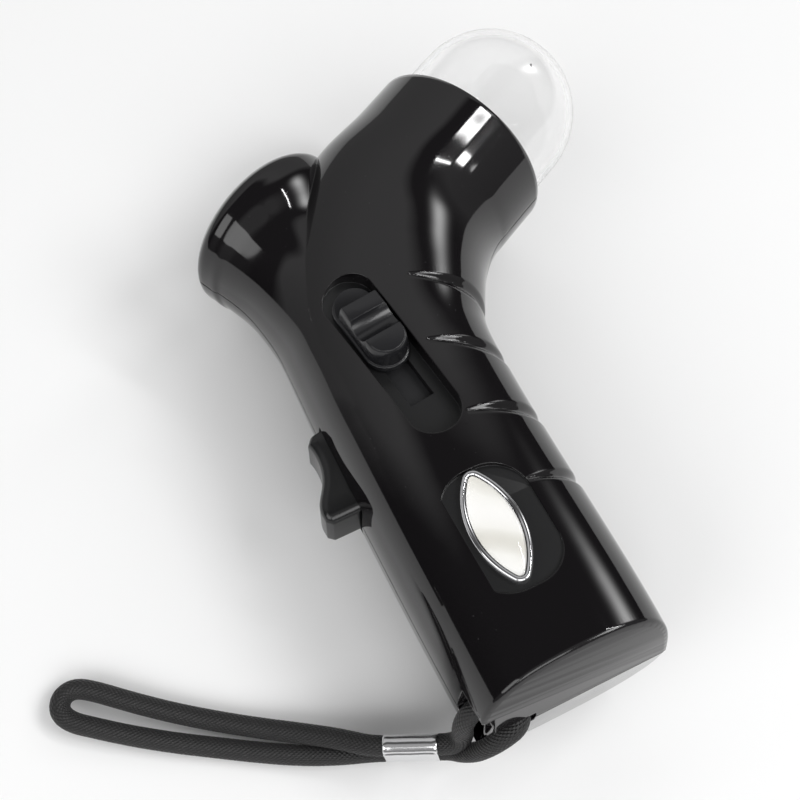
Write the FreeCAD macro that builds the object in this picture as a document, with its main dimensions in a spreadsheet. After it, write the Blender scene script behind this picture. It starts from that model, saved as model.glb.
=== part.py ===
import FreeCAD, Part
import math
import os

import Sketcher
from FreeCAD import Placement, Rotation, Vector

# A hand-held launcher for pet treats, lying on its side as in the photograph.
# Plan coordinates: +Y runs along the handle towards the head, +X towards the
# back of the handle, +Z is up. The two housing halves meet in a level plane,
# one barrel radius above the surface that the launcher lies on.
# All sizes are millimetres and degrees.

SIZES = [
    # place of the plan's own zero in the part frame
    ("plan_x", -27.1, "plan zero, measured from the middle of the outline"),
    ("plan_y", -3.5, "plan zero, measured from the middle of the outline"),
    # housing
    ("wall", 2.2, "thickness of the moulded housing"),
    ("barrel_radius", 26.0, "outer radius of the treat barrel at its rim"),
    ("bell_radius", 22.7, "outer radius of the muzzle bell at its mouth"),
    ("handle_thickness", 50.0, "handle, from one side face to the other"),
    ("handle_width", 50.6, "handle, from front to back near the butt"),
    ("handle_middle", 1.3, "middle of the handle, from the plan zero"),
    ("rib_start", -94.0, "first rib of the forms, beyond the butt"),
    ("rib_pitch", 12.0, "distance of the handle's ribs"),
    ("step_height", 0.9, "main form standing proud of the front strip"),
    ("groove_width", 1.3, "finger grooves"),
    ("groove_depth", 1.1, "finger grooves"),
    ("butt_y", -84.8, "plan height of the butt end"),
    ("butt_lean", 7.0, "lean of each half of the butt face"),
    ("rim_x", 48.5, "centre of the barrel rim"),
    ("rim_y", 61.5, "centre of the barrel rim"),
    ("hopper_angle", 62.4, "barrel axis, right of the handle axis"),
    ("muzzle_x", -9.3, "centre of the muzzle mouth"),
    ("muzzle_y", 64.4, "centre of the muzzle mouth"),
    ("muzzle_angle", 19.5, "muzzle mouth normal, left of the handle axis"),
    ("launch_angle", 6.5, "launch axis, left of the handle axis"),
    # fits
    ("clearance", 0.2, "gap round a part that is only placed"),
    ("seat_gap", 0.3, "gap under a part that is held by its neighbours"),
    ("running_gap", 0.1, "radial gap of a part that slides or turns"),
    ("press_depth", 3.0, "length of a pin held in each housing half"),
    # dome and treat path
    ("dome_gap", 0.8, "gap between the dome and the barrel wall"),
    ("lug_height", 1.4, "bayonet lug standing out of the dome skirt"),
    ("lug_width", 8.0, "bayonet lug, round the skirt"),
    ("lug_length", 1.7, "bayonet lug, along the skirt"),
    ("dome_wall", 1.6, "thickness of the clear dome"),
    ("dome_straight", 15.8, "straight part of the dome outside the rim"),
    ("dome_skirt", 10.0, "part of the dome inside the barrel"),
    ("ring_depth", 3.5, "lock ring, below the barrel rim"),
    ("ring_length", 4.5, "lock ring, along the barrel"),
    ("ring_turn", 45.0, "turn of the dome from locked to free"),
    ("funnel_flange", 2.0, "flat ring at the funnel's wide end"),
    ("funnel_step", 1.6, "cone inside the funnel's flange"),
    ("funnel_depth", 38.0, "end of the funnel's cone, below the barrel rim"),
    ("funnel_wall", 1.4, "thickness of the funnel"),
    ("feed_radius", 8.5, "throat that drops treats into the tube"),
    # launch tube and plunger
    ("tube_bore", 10.5, "inner radius of the launch tube"),
    ("tube_wall", 1.5, "thickness of the launch tube"),
    ("lead_bore", 10.75, "inner radius of the tube's front end, where the treat leaves it"),
    ("lead_length", 9.6, "wider front end of the tube"),
    ("tube_front", 12.0, "front end of the tube, behind the mouth"),
    ("tube_rear", 98.0, "rear end of the tube, behind the mouth"),
    ("liner_lap", 2.5, "length of tube held in the muzzle liner"),
    ("liner_wall", 1.2, "thickness of the muzzle liner"),
    ("travel", 18.0, "stroke of the slider and plunger"),
    ("plunger_length", 56.0, "plunger, without its pad"),
    ("plunger_wall", 2.0, "skirt of the plunger"),
    ("plunger_front", 6.0, "solid front of the plunger"),
    ("pad_thickness", 2.0, "soft pad on the plunger's face"),
    ("spring_wire", 1.4, "wire of the main spring"),
    ("spring_gap", 0.5, "main spring inside the plunger skirt"),
    ("spring_turns", 12.0, "turns of the main spring"),
    ("seat_depth", 112.0, "front face of the spring seat, behind the mouth"),
    ("seat_thickness", 3.0, "flange of the spring seat"),
    ("seat_nose", 18.0, "rod of the seat inside the spring"),
    ("spigot_radius", 3.0, "spigot of the seat in the housing's rear rib"),
    ("bulkhead", 2.4, "thickness of the ribs across the housing"),
    ("rib_margin", 3.0, "ribs across the housing, past the tube they carry"),
    ("front_rib", 8.5, "front rib ahead of the knob's centre"),
    # slider
    ("pocket_floor", 21.0, "slider pocket floor above the parting plane"),
    ("pocket_width", 13.0, "slider pocket"),
    ("pocket_length", 48.8, "slider pocket"),
    ("pocket_middle", 64.2, "centre of the pocket, behind the mouth"),
    ("pocket_offset", -0.2, "centre of the pocket, right of the launch axis"),
    ("slot_width", 6.4, "slot in the pocket floor"),
    ("knob_station", 55.4, "centre of the knob, behind the mouth"),
    ("knob_width", 11.6, "base of the knob"),
    ("knob_length", 24.4, "base of the knob"),
    ("knob_base", 1.6, "thickness of the knob's base"),
    ("knob_height", 9.0, "top of the knob's pads above the pocket floor"),
    ("knob_scoop", 3.4, "radius of the thumb hollow"),
    ("stem_length", 7.6, "slider stem, along the slot"),
    ("shutter_thickness", 1.2, "dust strip under the slot"),
    ("shutter_length", 46.0, "dust strip under the slot"),
    ("shutter_width", 8.6, "dust strip under the slot"),
    # trigger and sear
    ("trigger_thickness", 12.8, "trigger, across the parting plane"),
    ("trigger_edge", 2.2, "rounded edge of the trigger"),
    ("trigger_pin_x", -17.6, "trigger pin"),
    ("trigger_pin_y", -4.6, "trigger pin"),
    ("pin_radius", 1.25, "trigger and sear pins"),
    ("press_gap", 0.05, "radial gap of a part pressed or laid in its seat"),
    ("pin_boss", 2.8, "radius of the bosses that hold the pins"),
    ("sear_pin_x", -14.8, "sear pin"),
    ("sear_pin_y", -21.0, "sear pin"),
    ("sear_thickness", 6.0, "sear, across the parting plane"),
    ("return_wire", 0.5, "wire of the two small springs"),
    ("return_radius", 1.8, "mean radius of the two small springs"),
    # badge
    ("recess_width", 21.4, "badge recess"),
    ("recess_length", 30.6, "badge recess"),
    ("recess_corner", 9.2, "corner radius of the badge recess"),
    ("recess_depth", 1.3, "badge recess, below the handle's crown"),
    ("recess_x", -0.5, "centre of the badge recess"),
    ("recess_y", -50.0, "centre of the badge recess"),
    ("badge_x", -1.5, "centre of the badge"),
    ("badge_y", -49.3, "centre of the badge"),
    ("badge_turn", -2.9, "badge, turned on the handle"),
    ("badge_length", 31.3, "badge, tip to tip before its tips are rounded"),
    ("badge_width", 13.0, "badge, across"),
    ("badge_tip", 2.6, "radius of the badge's rounded tips"),
    ("badge_rim", 1.1, "width of the bright rim"),
    ("badge_height", 1.7, "bright rim above the recess floor"),
    ("plate_thickness", 0.8, "badge plate"),
    ("lens_crown", 2.1, "half height of the oval that crowns the badge lens"),
    # fasteners and strap
    ("screw_radius", 1.3, "shank of the housing screws"),
    ("screw_head", 2.5, "head radius of the housing screws"),
    ("screw_head_height", 1.8, "head of the housing screws"),
    ("screw_cross", 3.0, "cross in the screw heads, from end to end"),
    ("screw_cross_width", 0.6, "cross in the screw heads"),
    ("screw_cross_depth", 1.0, "cross in the screw heads"),
    ("screw_seat", 8.0, "face under each screw head, below the parting plane"),
    ("screw_reach", 8.0, "screw tip above the parting plane"),
    ("boss_radius", 4.0, "screw bosses"),
    ("cord_radius", 2.1, "wrist strap cord"),
    ("cord_lead", 3.0, "straight cord at each face of the ferrule"),
    ("ferrule_length", 12.7, "crimped ferrule"),
    ("ferrule_width", 5.1, "crimped ferrule"),
    ("ferrule_height", 9.4, "crimped ferrule"),
    ("strand_pitch", 4.36, "middle to middle of the two strands in the ferrule"),
    ("strap_post", 1.3, "radius of the post that the strap runs round"),
    ("strap_post_x", -18.6, "strap post"),
    ("strap_post_y", -80.8, "strap post"),
    ("strap_post_reach", 15.8, "end of the strap post, from the parting plane"),
]

# Points of each rib, and a reach past the whole part on every side
RIB_POINTS = 32
BEYOND = 150.0

doc = FreeCAD.newDocument("TreatLauncher")
sheet = doc.addObject("Spreadsheet::Sheet", "Sizes")
pieces = []


def fill_sheet():
    """Write every driving size into the sheet, one named row each."""
    for row, (name, value, meaning) in enumerate(SIZES, start=1):
        sheet.set(f"A{row}", name)
        sheet.set(f"B{row}", str(value))
        sheet.set(f"C{row}", meaning)
        sheet.setAlias(f"B{row}", name)
    doc.recompute()


def size(name):
    """A size from the sheet."""
    return float(sheet.get(name))


def number(expression):
    """The value of an expression in sheet names, for a sketch's first draft."""
    return float(sheet.evalExpression(expression))


def bind(item, **expressions):
    """Tie an object's properties to the sheet; x, y and z move it."""
    for name, expression in expressions.items():
        path = f"Placement.Base.{name}" if name in ("x", "y", "z") else name
        item.setExpression(path, expression)
    return item


def keep(item, label, placement=None):
    """Name a finished sub-part, put it in its place and list it for export."""
    item.Label = label
    if placement is not None:
        item.Placement = placement
    pieces.append(item)
    return item


# Places in the plan


def plan(x, y, z=0.0):
    """A plan point in the part frame; z counts from the parting plane."""
    return Vector(size("plan_x") + x, size("plan_y") + y, size("barrel_radius") + z)


def heading(angle):
    """Unit vector in the plan, turned right of +Y by an angle in degrees."""
    return Vector(math.sin(math.radians(angle)), math.cos(math.radians(angle)), 0)


def right_of(direction):
    """Unit vector in the plan to the right of a direction."""
    return Vector(direction.y, -direction.x, 0)


def launch_point(station, side=0.0, z=0.0):
    """A point by its distance behind the mouth and right of the launch axis."""
    ahead = heading(-size("launch_angle"))
    mouth = plan(size("muzzle_x"), size("muzzle_y"), z)
    return mouth - ahead * station + right_of(ahead) * side


def along(direction, base):
    """Placement whose local Z runs along a plan direction, local X up."""
    up = Vector(0, 0, 1)
    return Placement(base, Rotation(up, direction.cross(up), direction, "ZXY"))


def launch_frame(station):
    """Placement on the launch axis, local Z forward and local X up."""
    return along(heading(-size("launch_angle")), launch_point(station))


def hopper_frame(depth):
    """Placement on the barrel axis, local Z outward and local X up."""
    out = heading(size("hopper_angle"))
    return along(out, plan(size("rim_x"), size("rim_y")) - out * depth)


def flat_on_launch(station, side=0.0, z=0.0):
    """Placement with local Y along the launch axis and local Z up."""
    turn = Rotation(Vector(0, 0, 1), size("launch_angle"))
    return Placement(launch_point(station, side, z), turn)


def feed_station():
    """Where the barrel axis meets the launch axis, behind the mouth."""
    out = heading(size("hopper_angle"))
    ahead = heading(-size("launch_angle"))
    gap = plan(size("rim_x"), size("rim_y")) - plan(size("muzzle_x"), size("muzzle_y"))
    return (gap.cross(out).z) / (out.cross(ahead).z)


def feed_depth():
    """Where the two axes meet, as a depth below the barrel rim."""
    out = heading(size("hopper_angle"))
    meet = launch_point(feed_station())
    return (plan(size("rim_x"), size("rim_y")) - meet).dot(out)


# Solids for the moulded forms


def rib_wire(front, back, half, fullness):
    """Closed rib: a rounded section standing on the line from front to back."""
    middle = (front + back) * 0.5
    reach = (back - front) * 0.5
    points = []
    for step in range(RIB_POINTS):
        angle = 2 * math.pi * step / RIB_POINTS
        across = math.copysign(abs(math.cos(angle)) ** (2 / fullness), math.cos(angle))
        up = math.copysign(abs(math.sin(angle)) ** (2 / fullness), math.sin(angle))
        points.append(middle + reach * across + Vector(0, 0, half * up))
    curve = Part.BSplineCurve()
    knots = [step / RIB_POINTS for step in range(RIB_POINTS + 1)]
    curve.interpolate(Points=points, PeriodicFlag=True, Parameters=knots)
    return Part.Wire([curve.toShape()])


def form(ribs, inset=0.0):
    """Loft through ribs, each shrunk on all sides by the inset."""
    wires = []
    for front, back, half, fullness in ribs:
        inward = (back - front).normalize() * inset
        wires.append(rib_wire(front + inward, back - inward, half - inset, fullness))
    return Part.makeLoft(wires, True, False)


def turned_rib(centre, normal, radius, fullness=2.0, half=None):
    """Rib of a round mouth: its ends lie a radius either side of the centre."""
    side = right_of(normal)
    return (centre - side * radius, centre + side * radius, half or radius, fullness)


def handle_rib(y, front, back, half, fullness):
    """Rib square to the handle, between a front and a back plan distance."""
    return (plan(front, y), plan(back, y), half, fullness)


def main_ribs():
    """Handle that bends over into the treat barrel, butt end first."""
    half = size("handle_thickness") / 2
    wide = size("handle_width") / 2
    middle = size("handle_middle")
    out = heading(size("hopper_angle"))
    rim = plan(size("rim_x"), size("rim_y"))
    top = size("barrel_radius")
    ribs = []
    for step in range(9):
        y = size("rib_start") + size("rib_pitch") * step
        part = step / 8
        front = middle - wide + 0.2 + 2.6 * part ** 2
        back = middle + wide - 0.4 - 0.9 * part + 1.5 * part ** 6 - 2.2 * (1 - part) ** 7
        ribs.append(handle_rib(y, front, back, half - 0.6 + 1.0 * part, 2.6 - 0.15 * part))
    ribs += [
        (plan(-20.0, 15), plan(28.0, 7.2), half + 0.5, 2.42),
        (plan(-17.5, 29), plan(31.6, 14.2), half + 0.6, 2.35),
        (plan(-12.6, 43.5), plan(35.6, 21.0), half + 0.7, 2.25),
        (plan(-4.0, 58.5), plan(40.2, 26.6), top - 0.3, 2.12),
        (plan(9.5, 71), plan(44.6, 30.2), top - 0.1, 2.04),
        turned_rib(rim - out * 13, out, top - 0.05),
        turned_rib(rim - out * 6.5, out, top - 0.05),
        turned_rib(rim, out, top),
    ]
    return ribs


def front_ribs():
    """Front strip that widens into the muzzle bell, butt end first."""
    half = size("handle_thickness") / 2 - size("step_height")
    wide = size("handle_width") / 2
    middle = size("handle_middle")
    bell = size("bell_radius")
    ahead = heading(-size("muzzle_angle"))
    mouth = plan(size("muzzle_x"), size("muzzle_y"))
    ribs = []
    for step in range(9):
        y = size("rib_start") + size("rib_pitch") * step
        part = step / 8
        front = middle - wide + 1.5 * part ** 2 + 1.0 * (1 - part) ** 6
        thick = half - 0.6 + 0.8 * part - 0.6 * part ** 3
        ribs.append(handle_rib(y, front, 22 - part, thick, 2.6 - 0.2 * part))
    ribs += [
        (plan(-21.9, 14), plan(20, 12), half - 1.3, 2.32),
        (plan(-21.6, 26), plan(17, 22), 21.0, 2.2),
        (plan(-23.4, 38.5), plan(13.5, 33), 19.6, 2.1),
        (plan(-27.0, 48.0), plan(10.8, 48.6), 20.4, 2.0),
        turned_rib(mouth - ahead * 5.5, ahead, bell + 0.2),
        turned_rib(mouth - ahead * 1.5, ahead, bell),
        turned_rib(mouth, ahead, bell - 1.4),
    ]
    return ribs


# Plan points of the edge where the main form stands proud of the front strip
STEP_EDGE = [
    (-24.2, -104), (-22.5, -82), (-20.3, -52), (-18.6, -26), (-16.9, -3),
    (-14.8, 16), (-12.1, 27.8), (-7.8, 38.7), (-4.1, 46.2), (1.0, 54.6),
    (9.0, 67.0), (15.0, 76.0), (22.0, 86.0),
]


def proud_region(shift=0.0):
    """Upright block over the plan area of the main form."""
    edge = Part.BSplineCurve()
    edge.interpolate([plan(x + shift, y, -BEYOND) for x, y in STEP_EDGE])
    first = STEP_EDGE[0]
    last = STEP_EDGE[-1]
    corners = [
        plan(last[0] + shift, last[1], -BEYOND),
        plan(BEYOND, last[1] + 30, -BEYOND),
        plan(BEYOND, first[1], -BEYOND),
        plan(first[0] + shift, first[1], -BEYOND),
    ]
    sides = [Part.LineSegment(a, b).toShape() for a, b in zip(corners, corners[1:])]
    area = Part.Face(Part.Wire([edge.toShape()] + sides))
    return area.extrude(Vector(0, 0, 2 * BEYOND))


def butt_block(inset=0.0):
    """Block ahead of the butt face; each half of the face leans inward."""
    reach = 40.0
    lean = reach * math.tan(math.radians(size("butt_lean")))
    face = size("butt_y") + inset
    profile = [
        plan(-BEYOND, face + lean, -reach),
        plan(-BEYOND, face, 0),
        plan(-BEYOND, face + lean, reach),
        plan(-BEYOND, BEYOND, reach),
        plan(-BEYOND, BEYOND, -reach),
    ]
    return Part.Face(Part.makePolygon(profile + profile[:1])).extrude(Vector(2 * BEYOND, 0, 0))


def half_space(side):
    """Everything above (side 1) or below (side -1) the parting plane."""
    base = plan(-BEYOND, -BEYOND, 0 if side > 0 else -BEYOND)
    return Part.makeBox(2 * BEYOND, 2 * BEYOND, BEYOND, base)


def outer_form():
    """Outer shape of the whole housing, both halves together."""
    main = form(main_ribs()).common(proud_region())
    body = main.fuse(form(front_ribs()))
    top = size("barrel_radius")
    level = Part.makeBox(2 * BEYOND, 2 * BEYOND, 2 * top, plan(-BEYOND, -BEYOND, -top))
    return body.common(butt_block()).common(level)


def inner_form():
    """Hollow of the housing, open at the barrel rim and at the muzzle."""
    wall = size("wall")
    main_list = main_ribs()
    out = heading(size("hopper_angle"))
    main_list.append(turned_rib(plan(size("rim_x"), size("rim_y")) + out * 2, out, size("barrel_radius")))
    front_list = front_ribs()
    ahead = heading(-size("muzzle_angle"))
    mouth = plan(size("muzzle_x"), size("muzzle_y"))
    front_list[-1] = turned_rib(mouth, ahead, size("bell_radius"))
    front_list.append(turned_rib(mouth + ahead * 2, ahead, size("bell_radius")))
    main = form(main_list, wall).common(proud_region(wall))
    body = main.fuse(form(front_list, wall))
    return body.common(butt_block(wall))


def obround(length, width, height, placement):
    """Upright slab with round ends, long side along local Y, base at local zero."""
    radius = width / 2
    reach = length / 2 - radius
    slab = Part.makeBox(width, 2 * reach, height, Vector(-radius, -reach, 0))
    for end in (-reach, reach):
        slab = slab.fuse(Part.makeCylinder(radius, height, Vector(0, end, 0)))
    slab = slab.removeSplitter()
    slab.Placement = placement
    return slab


def rounded_slab(length, width, corner, height, placement):
    """Upright slab with four rounded corners, centred, base at local zero."""
    slab = Part.makeBox(width, length, height, Vector(-width / 2, -length / 2, 0))
    upright = [e for e in slab.Edges if abs(e.tangentAt(e.FirstParameter).z) > 0.99]
    slab = slab.makeFillet(corner, upright)
    slab.Placement = placement
    return slab


def across_launch(station, thickness, reach):
    """Slab square to the launch axis, as wide as twice the reach."""
    slab = Part.makeBox(120, 2 * reach, thickness, Vector(-60, -reach, 0))
    slab.Placement = launch_frame(station)
    return slab


def launch_rod(radius, rear, front):
    """Cylinder on the launch axis between two stations behind the mouth."""
    rod = Part.makeCylinder(radius, rear - front)
    rod.Placement = launch_frame(rear)
    return rod


def upright(radius, x, y, low, high):
    """Upright cylinder at a plan point, between two heights."""
    return Part.makeCylinder(radius, high - low, plan(x, y, low))


# Plan points of the housing screws, clear of the mechanism
SCREWS = [(18.6, -22.0), (19.6, 1.0), (32.2, 27.6), (-14.0, -60.0), (16.5, -72.0)]

# Opposite plan corners of the opening that the trigger stands in
TRIGGER_WINDOW = ((-38.0, -26.0), (-16.0, -1.2))

# Openings for the strap at the butt's front corner: opposite corners, heights from the parting plane
STRAP_WINDOWS = [
    ((-32.2, -90, -14.0), (-15.4, -74.8, 0)),
    ((-32.2, -90, 0), (-19.5, -74.8, 9.5)),
    ((-20.2, -90, -3.6), (-9.2, -80.6, 2.2)),
]

# Finger grooves: plan points where each crease starts and where it leaves the handle
GROOVES = [
    ((11.2, 17.2), (40.0, 4.0)),
    ((6.9, -0.9), (36.0, -12.0)),
    ((6.4, -21.5), (36.0, -28.0)),
    ((10.4, -42.4), (36.0, -44.2)),
]


def bosses(hollow):
    """Screw bosses, both halves at once."""
    posts = []
    for x, y in SCREWS:
        posts.append(upright(size("boss_radius"), x, y, -30, 30).common(hollow))
    for name in ("trigger", "sear"):
        gap = pin_gap(name)
        x = size(name + "_pin_x")
        y = size(name + "_pin_y")
        for low, high in ((-30, -gap), (gap, 30)):
            posts.append(upright(size("pin_boss"), x, y, low, high).common(hollow))
    return posts


def pin_gap(name):
    """Height from the parting plane at which a pin's boss begins."""
    return size(name + "_thickness") / 2 + 2 * size("clearance")


def ribs_inside(hollow):
    """Ribs that carry the launch tube and the spring seat."""
    tube = launch_rod(size("tube_bore") + size("tube_wall") + size("press_gap"), 200, 0)
    reach = size("tube_bore") + size("tube_wall") + size("rib_margin")
    ribs = []
    front = size("knob_station") - size("front_rib")
    for station, wide in ((front, reach), (size("tube_rear"), size("tube_bore"))):
        ribs.append(across_launch(station, size("bulkhead"), wide).common(hollow).cut(tube))
    rear = size("seat_depth") + size("seat_thickness") + size("bulkhead")
    ribs.append(across_launch(rear, size("bulkhead"), reach).common(hollow))
    return ribs


def badge_floor():
    """Height of the badge recess floor above the parting plane."""
    return size("handle_thickness") / 2 - size("recess_depth")


def pads_inside(hollow):
    """Thicker floors under the slider pocket and the badge recess, upper half only."""
    wall = size("wall")
    floor = size("pocket_floor")
    place = flat_on_launch(size("pocket_middle"), size("pocket_offset"), floor - wall)
    pan = obround(size("pocket_length") + 2 * wall, size("pocket_width") + 2 * wall, 30, place)
    place = Placement(plan(size("recess_x"), size("recess_y"), badge_floor() - wall), Rotation())
    length = size("recess_length") + 2 * wall
    width = size("recess_width") + 2 * wall
    plate = rounded_slab(length, width, size("recess_corner") + wall, 30, place)
    return [pan.common(hollow), plate.common(hollow)]


def pocket_cuts():
    """Slider pocket with its slot, and the badge recess."""
    floor = size("pocket_floor")
    place = flat_on_launch(size("pocket_middle"), size("pocket_offset"), floor)
    pocket = obround(size("pocket_length"), size("pocket_width"), 30, place)
    place = Placement(plan(size("recess_x"), size("recess_y"), badge_floor()), Rotation())
    recess = rounded_slab(size("recess_length"), size("recess_width"), size("recess_corner"), 30, place)
    return [pocket, recess, slot_cut(floor - 12, 40)]


def slot_cut(low, high):
    """Straight slot that the slider stem runs in."""
    gap = 2 * size("clearance")
    length = size("stem_length") + size("travel") + gap
    width = size("slot_width")
    middle = size("knob_station") + size("travel") / 2
    box = Part.makeBox(width, length, high - low, Vector(-width / 2, -length / 2, 0))
    box.Placement = flat_on_launch(middle, 0, low)
    return box


def shutter_way():
    """Room for the dust strip under the pocket floor, over its whole travel."""
    gap = size("seat_gap")
    thick = size("shutter_thickness") + 2 * gap
    width = size("shutter_width") + 2 * gap
    length = size("shutter_length") + size("travel") + 2 * gap
    middle = size("knob_station") + size("travel") / 2
    box = Part.makeBox(width, length, thick, Vector(-width / 2, -length / 2, 0))
    box.Placement = flat_on_launch(middle, 0, shutter_top() - size("shutter_thickness") - gap)
    return box


def shutter_top():
    """Height of the dust strip's upper face above the parting plane."""
    return size("pocket_floor") - size("wall") - size("seat_gap")


def groove_cuts(core):
    """Narrow finger grooves, cut down to a core just under the surface."""
    cuts = []
    for (x1, y1), (x2, y2) in GROOVES:
        start = plan(x1, y1)
        run = plan(x2, y2) - start
        width = size("groove_width")
        blade = Part.makeBox(run.Length, width, 2 * BEYOND, Vector(0, -width / 2, -BEYOND))
        blade.Placement = Placement(start, Rotation(Vector(1, 0, 0), run))
        cuts.append(blade.cut(core))
    return cuts


def trigger_window():
    """Opening in the front strip that the trigger stands in."""
    half = size("trigger_thickness") / 2 + size("seat_gap")
    (x1, y1), (x2, y2) = TRIGGER_WINDOW
    return Part.makeBox(x2 - x1, y2 - y1, 2 * half, plan(x1, y1, -half))


def strap_cuts():
    """Corner window and end slot that the strap is looped through."""
    cuts = []
    for low, high in STRAP_WINDOWS:
        reach = [b - a for a, b in zip(low, high)]
        cuts.append(Part.makeBox(*reach, plan(*low)))
    return cuts


def strap_post():
    """Post inside the corner window; the strap runs round it."""
    reach = size("strap_post_reach")
    return upright(size("strap_post"), size("strap_post_x"), size("strap_post_y"), -reach, reach)


def screw_cuts():
    """Clearance and head holes from below, pilot holes above."""
    shank = size("screw_radius")
    seat = -size("screw_seat")
    cuts = []
    for x, y in SCREWS:
        cuts.append(upright(shank + size("running_gap"), x, y, -40, 0))
        cuts.append(upright(size("screw_head") + size("clearance"), x, y, -40, seat))
        cuts.append(upright(shank + size("press_gap"), x, y, 0, size("screw_reach") + size("spring_gap")))
    return cuts


def pin_cuts():
    """Blind holes for the trigger and sear pins."""
    cuts = []
    for name in ("trigger", "sear"):
        reach = pin_gap(name) + size("press_depth")
        x = size(name + "_pin_x")
        y = size(name + "_pin_y")
        cuts.append(upright(size("pin_radius") + size("press_gap"), x, y, -reach, reach))
    return cuts


def seat_spigot_hole():
    """Hole in the rear rib for the spring seat's spigot."""
    station = size("seat_depth") + size("seat_thickness")
    return launch_rod(size("spigot_radius") + size("running_gap"), station + 6, station)


def barrel_bore_cut():
    """True round bore that seats the lock ring and the funnel's flange."""
    depth = size("dome_skirt") + size("seat_gap") + size("funnel_flange") + size("clearance")
    rod = Part.makeCylinder(size("barrel_radius") - size("wall") + size("running_gap"), depth + 5)
    rod.Placement = hopper_frame(depth)
    return rod


def make_housing():
    """Both halves of the housing, split at the parting plane."""
    outer = outer_form()
    hollow = inner_form()
    core = form(main_ribs(), size("groove_depth"))
    shell = outer.cut(hollow)
    ribs = bosses(hollow) + ribs_inside(hollow)
    cuts = [trigger_window(), shutter_way(), seat_spigot_hole(), barrel_bore_cut()]
    cuts += strap_cuts() + screw_cuts() + pin_cuts() + groove_cuts(core)
    halves = {}
    for label, side in (("lower_shell", -1), ("upper_shell", 1)):
        block = half_space(side)
        extra = ribs + (pads_inside(hollow) if side > 0 else [])
        half = shell.common(block).fuse([piece.common(block) for piece in extra])
        half = half.cut(cuts + (pocket_cuts() if side > 0 else []))
        half = half.fuse(strap_post().common(block))
        halves[label] = half
    for label, shape in halves.items():
        item = doc.addObject("Part::Feature", label)
        item.Shape = shape
        keep(item, label)


# Round pieces on the two axes


def profile(body, role, points):
    """Closed outline of straight lines; every corner is tied to the sheet."""
    sketch = body.newObject("Sketcher::SketchObject", body.Name + "_outline")
    plane = [item for item in body.Origin.OriginFeatures if item.Role == role][0]
    sketch.AttachmentSupport = (plane, [""])
    sketch.MapMode = "FlatFace"
    places = [(number(x), number(y)) for x, y in points]
    count = len(places)
    for index, (x, y) in enumerate(places):
        ahead = places[(index + 1) % count]
        sketch.addGeometry(Part.LineSegment(Vector(x, y, 0), Vector(ahead[0], ahead[1], 0)), False)
    for index in range(count):
        sketch.addConstraint(Sketcher.Constraint("Coincident", index, 2, (index + 1) % count, 1))
    for index, corner in enumerate(points):
        for kind, text in zip(("DistanceX", "DistanceY"), corner):
            rule = Sketcher.Constraint(kind, -1, 1, index, 1, number(text))
            tie = sketch.addConstraint(rule)
            sketch.setExpression(f"Constraints[{tie}]", text)
    return sketch


def turned_body(label, points):
    """Body of revolution about local Z; each point is radius, height."""
    body = doc.addObject("PartDesign::Body", label)
    sketch = profile(body, "XZ_Plane", points)
    turn = body.newObject("PartDesign::Revolution", label + "_turn")
    turn.Profile = sketch
    turn.ReferenceAxis = (sketch, ["V_Axis"])
    turn.Angle = 360
    doc.recompute()
    return body


def block_body(label, points, height):
    """Body padded upward from an outline in its own XY plane."""
    body = doc.addObject("PartDesign::Body", label)
    sketch = profile(body, "XY_Plane", points)
    pad = body.newObject("PartDesign::Pad", label + "_pad")
    pad.Profile = sketch
    pad.Length = number(height)
    pad.setExpression("Length", height)
    doc.recompute()
    return body


def cylinder(radius, height, low=None, turn=None):
    """Cylinder with radius, length and base height tied to the sheet."""
    item = doc.addObject("Part::Cylinder", "round")
    if turn is not None:
        item.Placement = Placement(Vector(0, 0, 0), turn)
    bind(item, Radius=radius, Height=height)
    return bind(item, z=low) if low else item


def box(length, width, height, x, y, z):
    """Box with its sizes and its corner tied to the sheet."""
    item = doc.addObject("Part::Box", "block")
    return bind(item, Length=length, Width=width, Height=height, x=x, y=y, z=z)


def cut(label, base, tools):
    """Base less all tools."""
    result = doc.addObject("Part::Cut", label)
    result.Base = base
    result.Tool = tools[0] if len(tools) == 1 else fuse(label + "_tools", tools)
    doc.recompute()
    return result


def fuse(label, items):
    """Union of several objects."""
    result = doc.addObject("Part::MultiFuse", label)
    result.Shapes = items
    doc.recompute()
    return result


BARREL_BORE = "(Sizes.barrel_radius - Sizes.wall)"
DOME = "(" + BARREL_BORE + " - Sizes.dome_gap)"
SKIRT = "(" + DOME + " - Sizes.lug_height)"
SHOULDER = "(Sizes.ring_depth - Sizes.clearance)"


def sectors(label, count, width, turn, radius, height, low):
    """Pie-shaped blocks spaced round local Z; width is measured at the barrel wall."""
    angle = math.degrees(width / number(BARREL_BORE))
    blocks = []
    for index in range(count):
        block = doc.addObject("Part::Cylinder", label)
        block.Angle = angle
        start = turn + 360 * index / count - angle / 2
        block.Placement = Placement(Vector(0, 0, 0), Rotation(Vector(0, 0, 1), start))
        blocks.append(bind(block, Radius=radius, Height=height, z=low))
    return blocks


def ball(radius):
    """Upper half of a ball whose centre is at the end of the dome's straight part."""
    half = doc.addObject("Part::Sphere", "ball")
    half.Angle1 = 0
    return bind(half, Radius=radius, z="Sizes.dome_straight")


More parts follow.
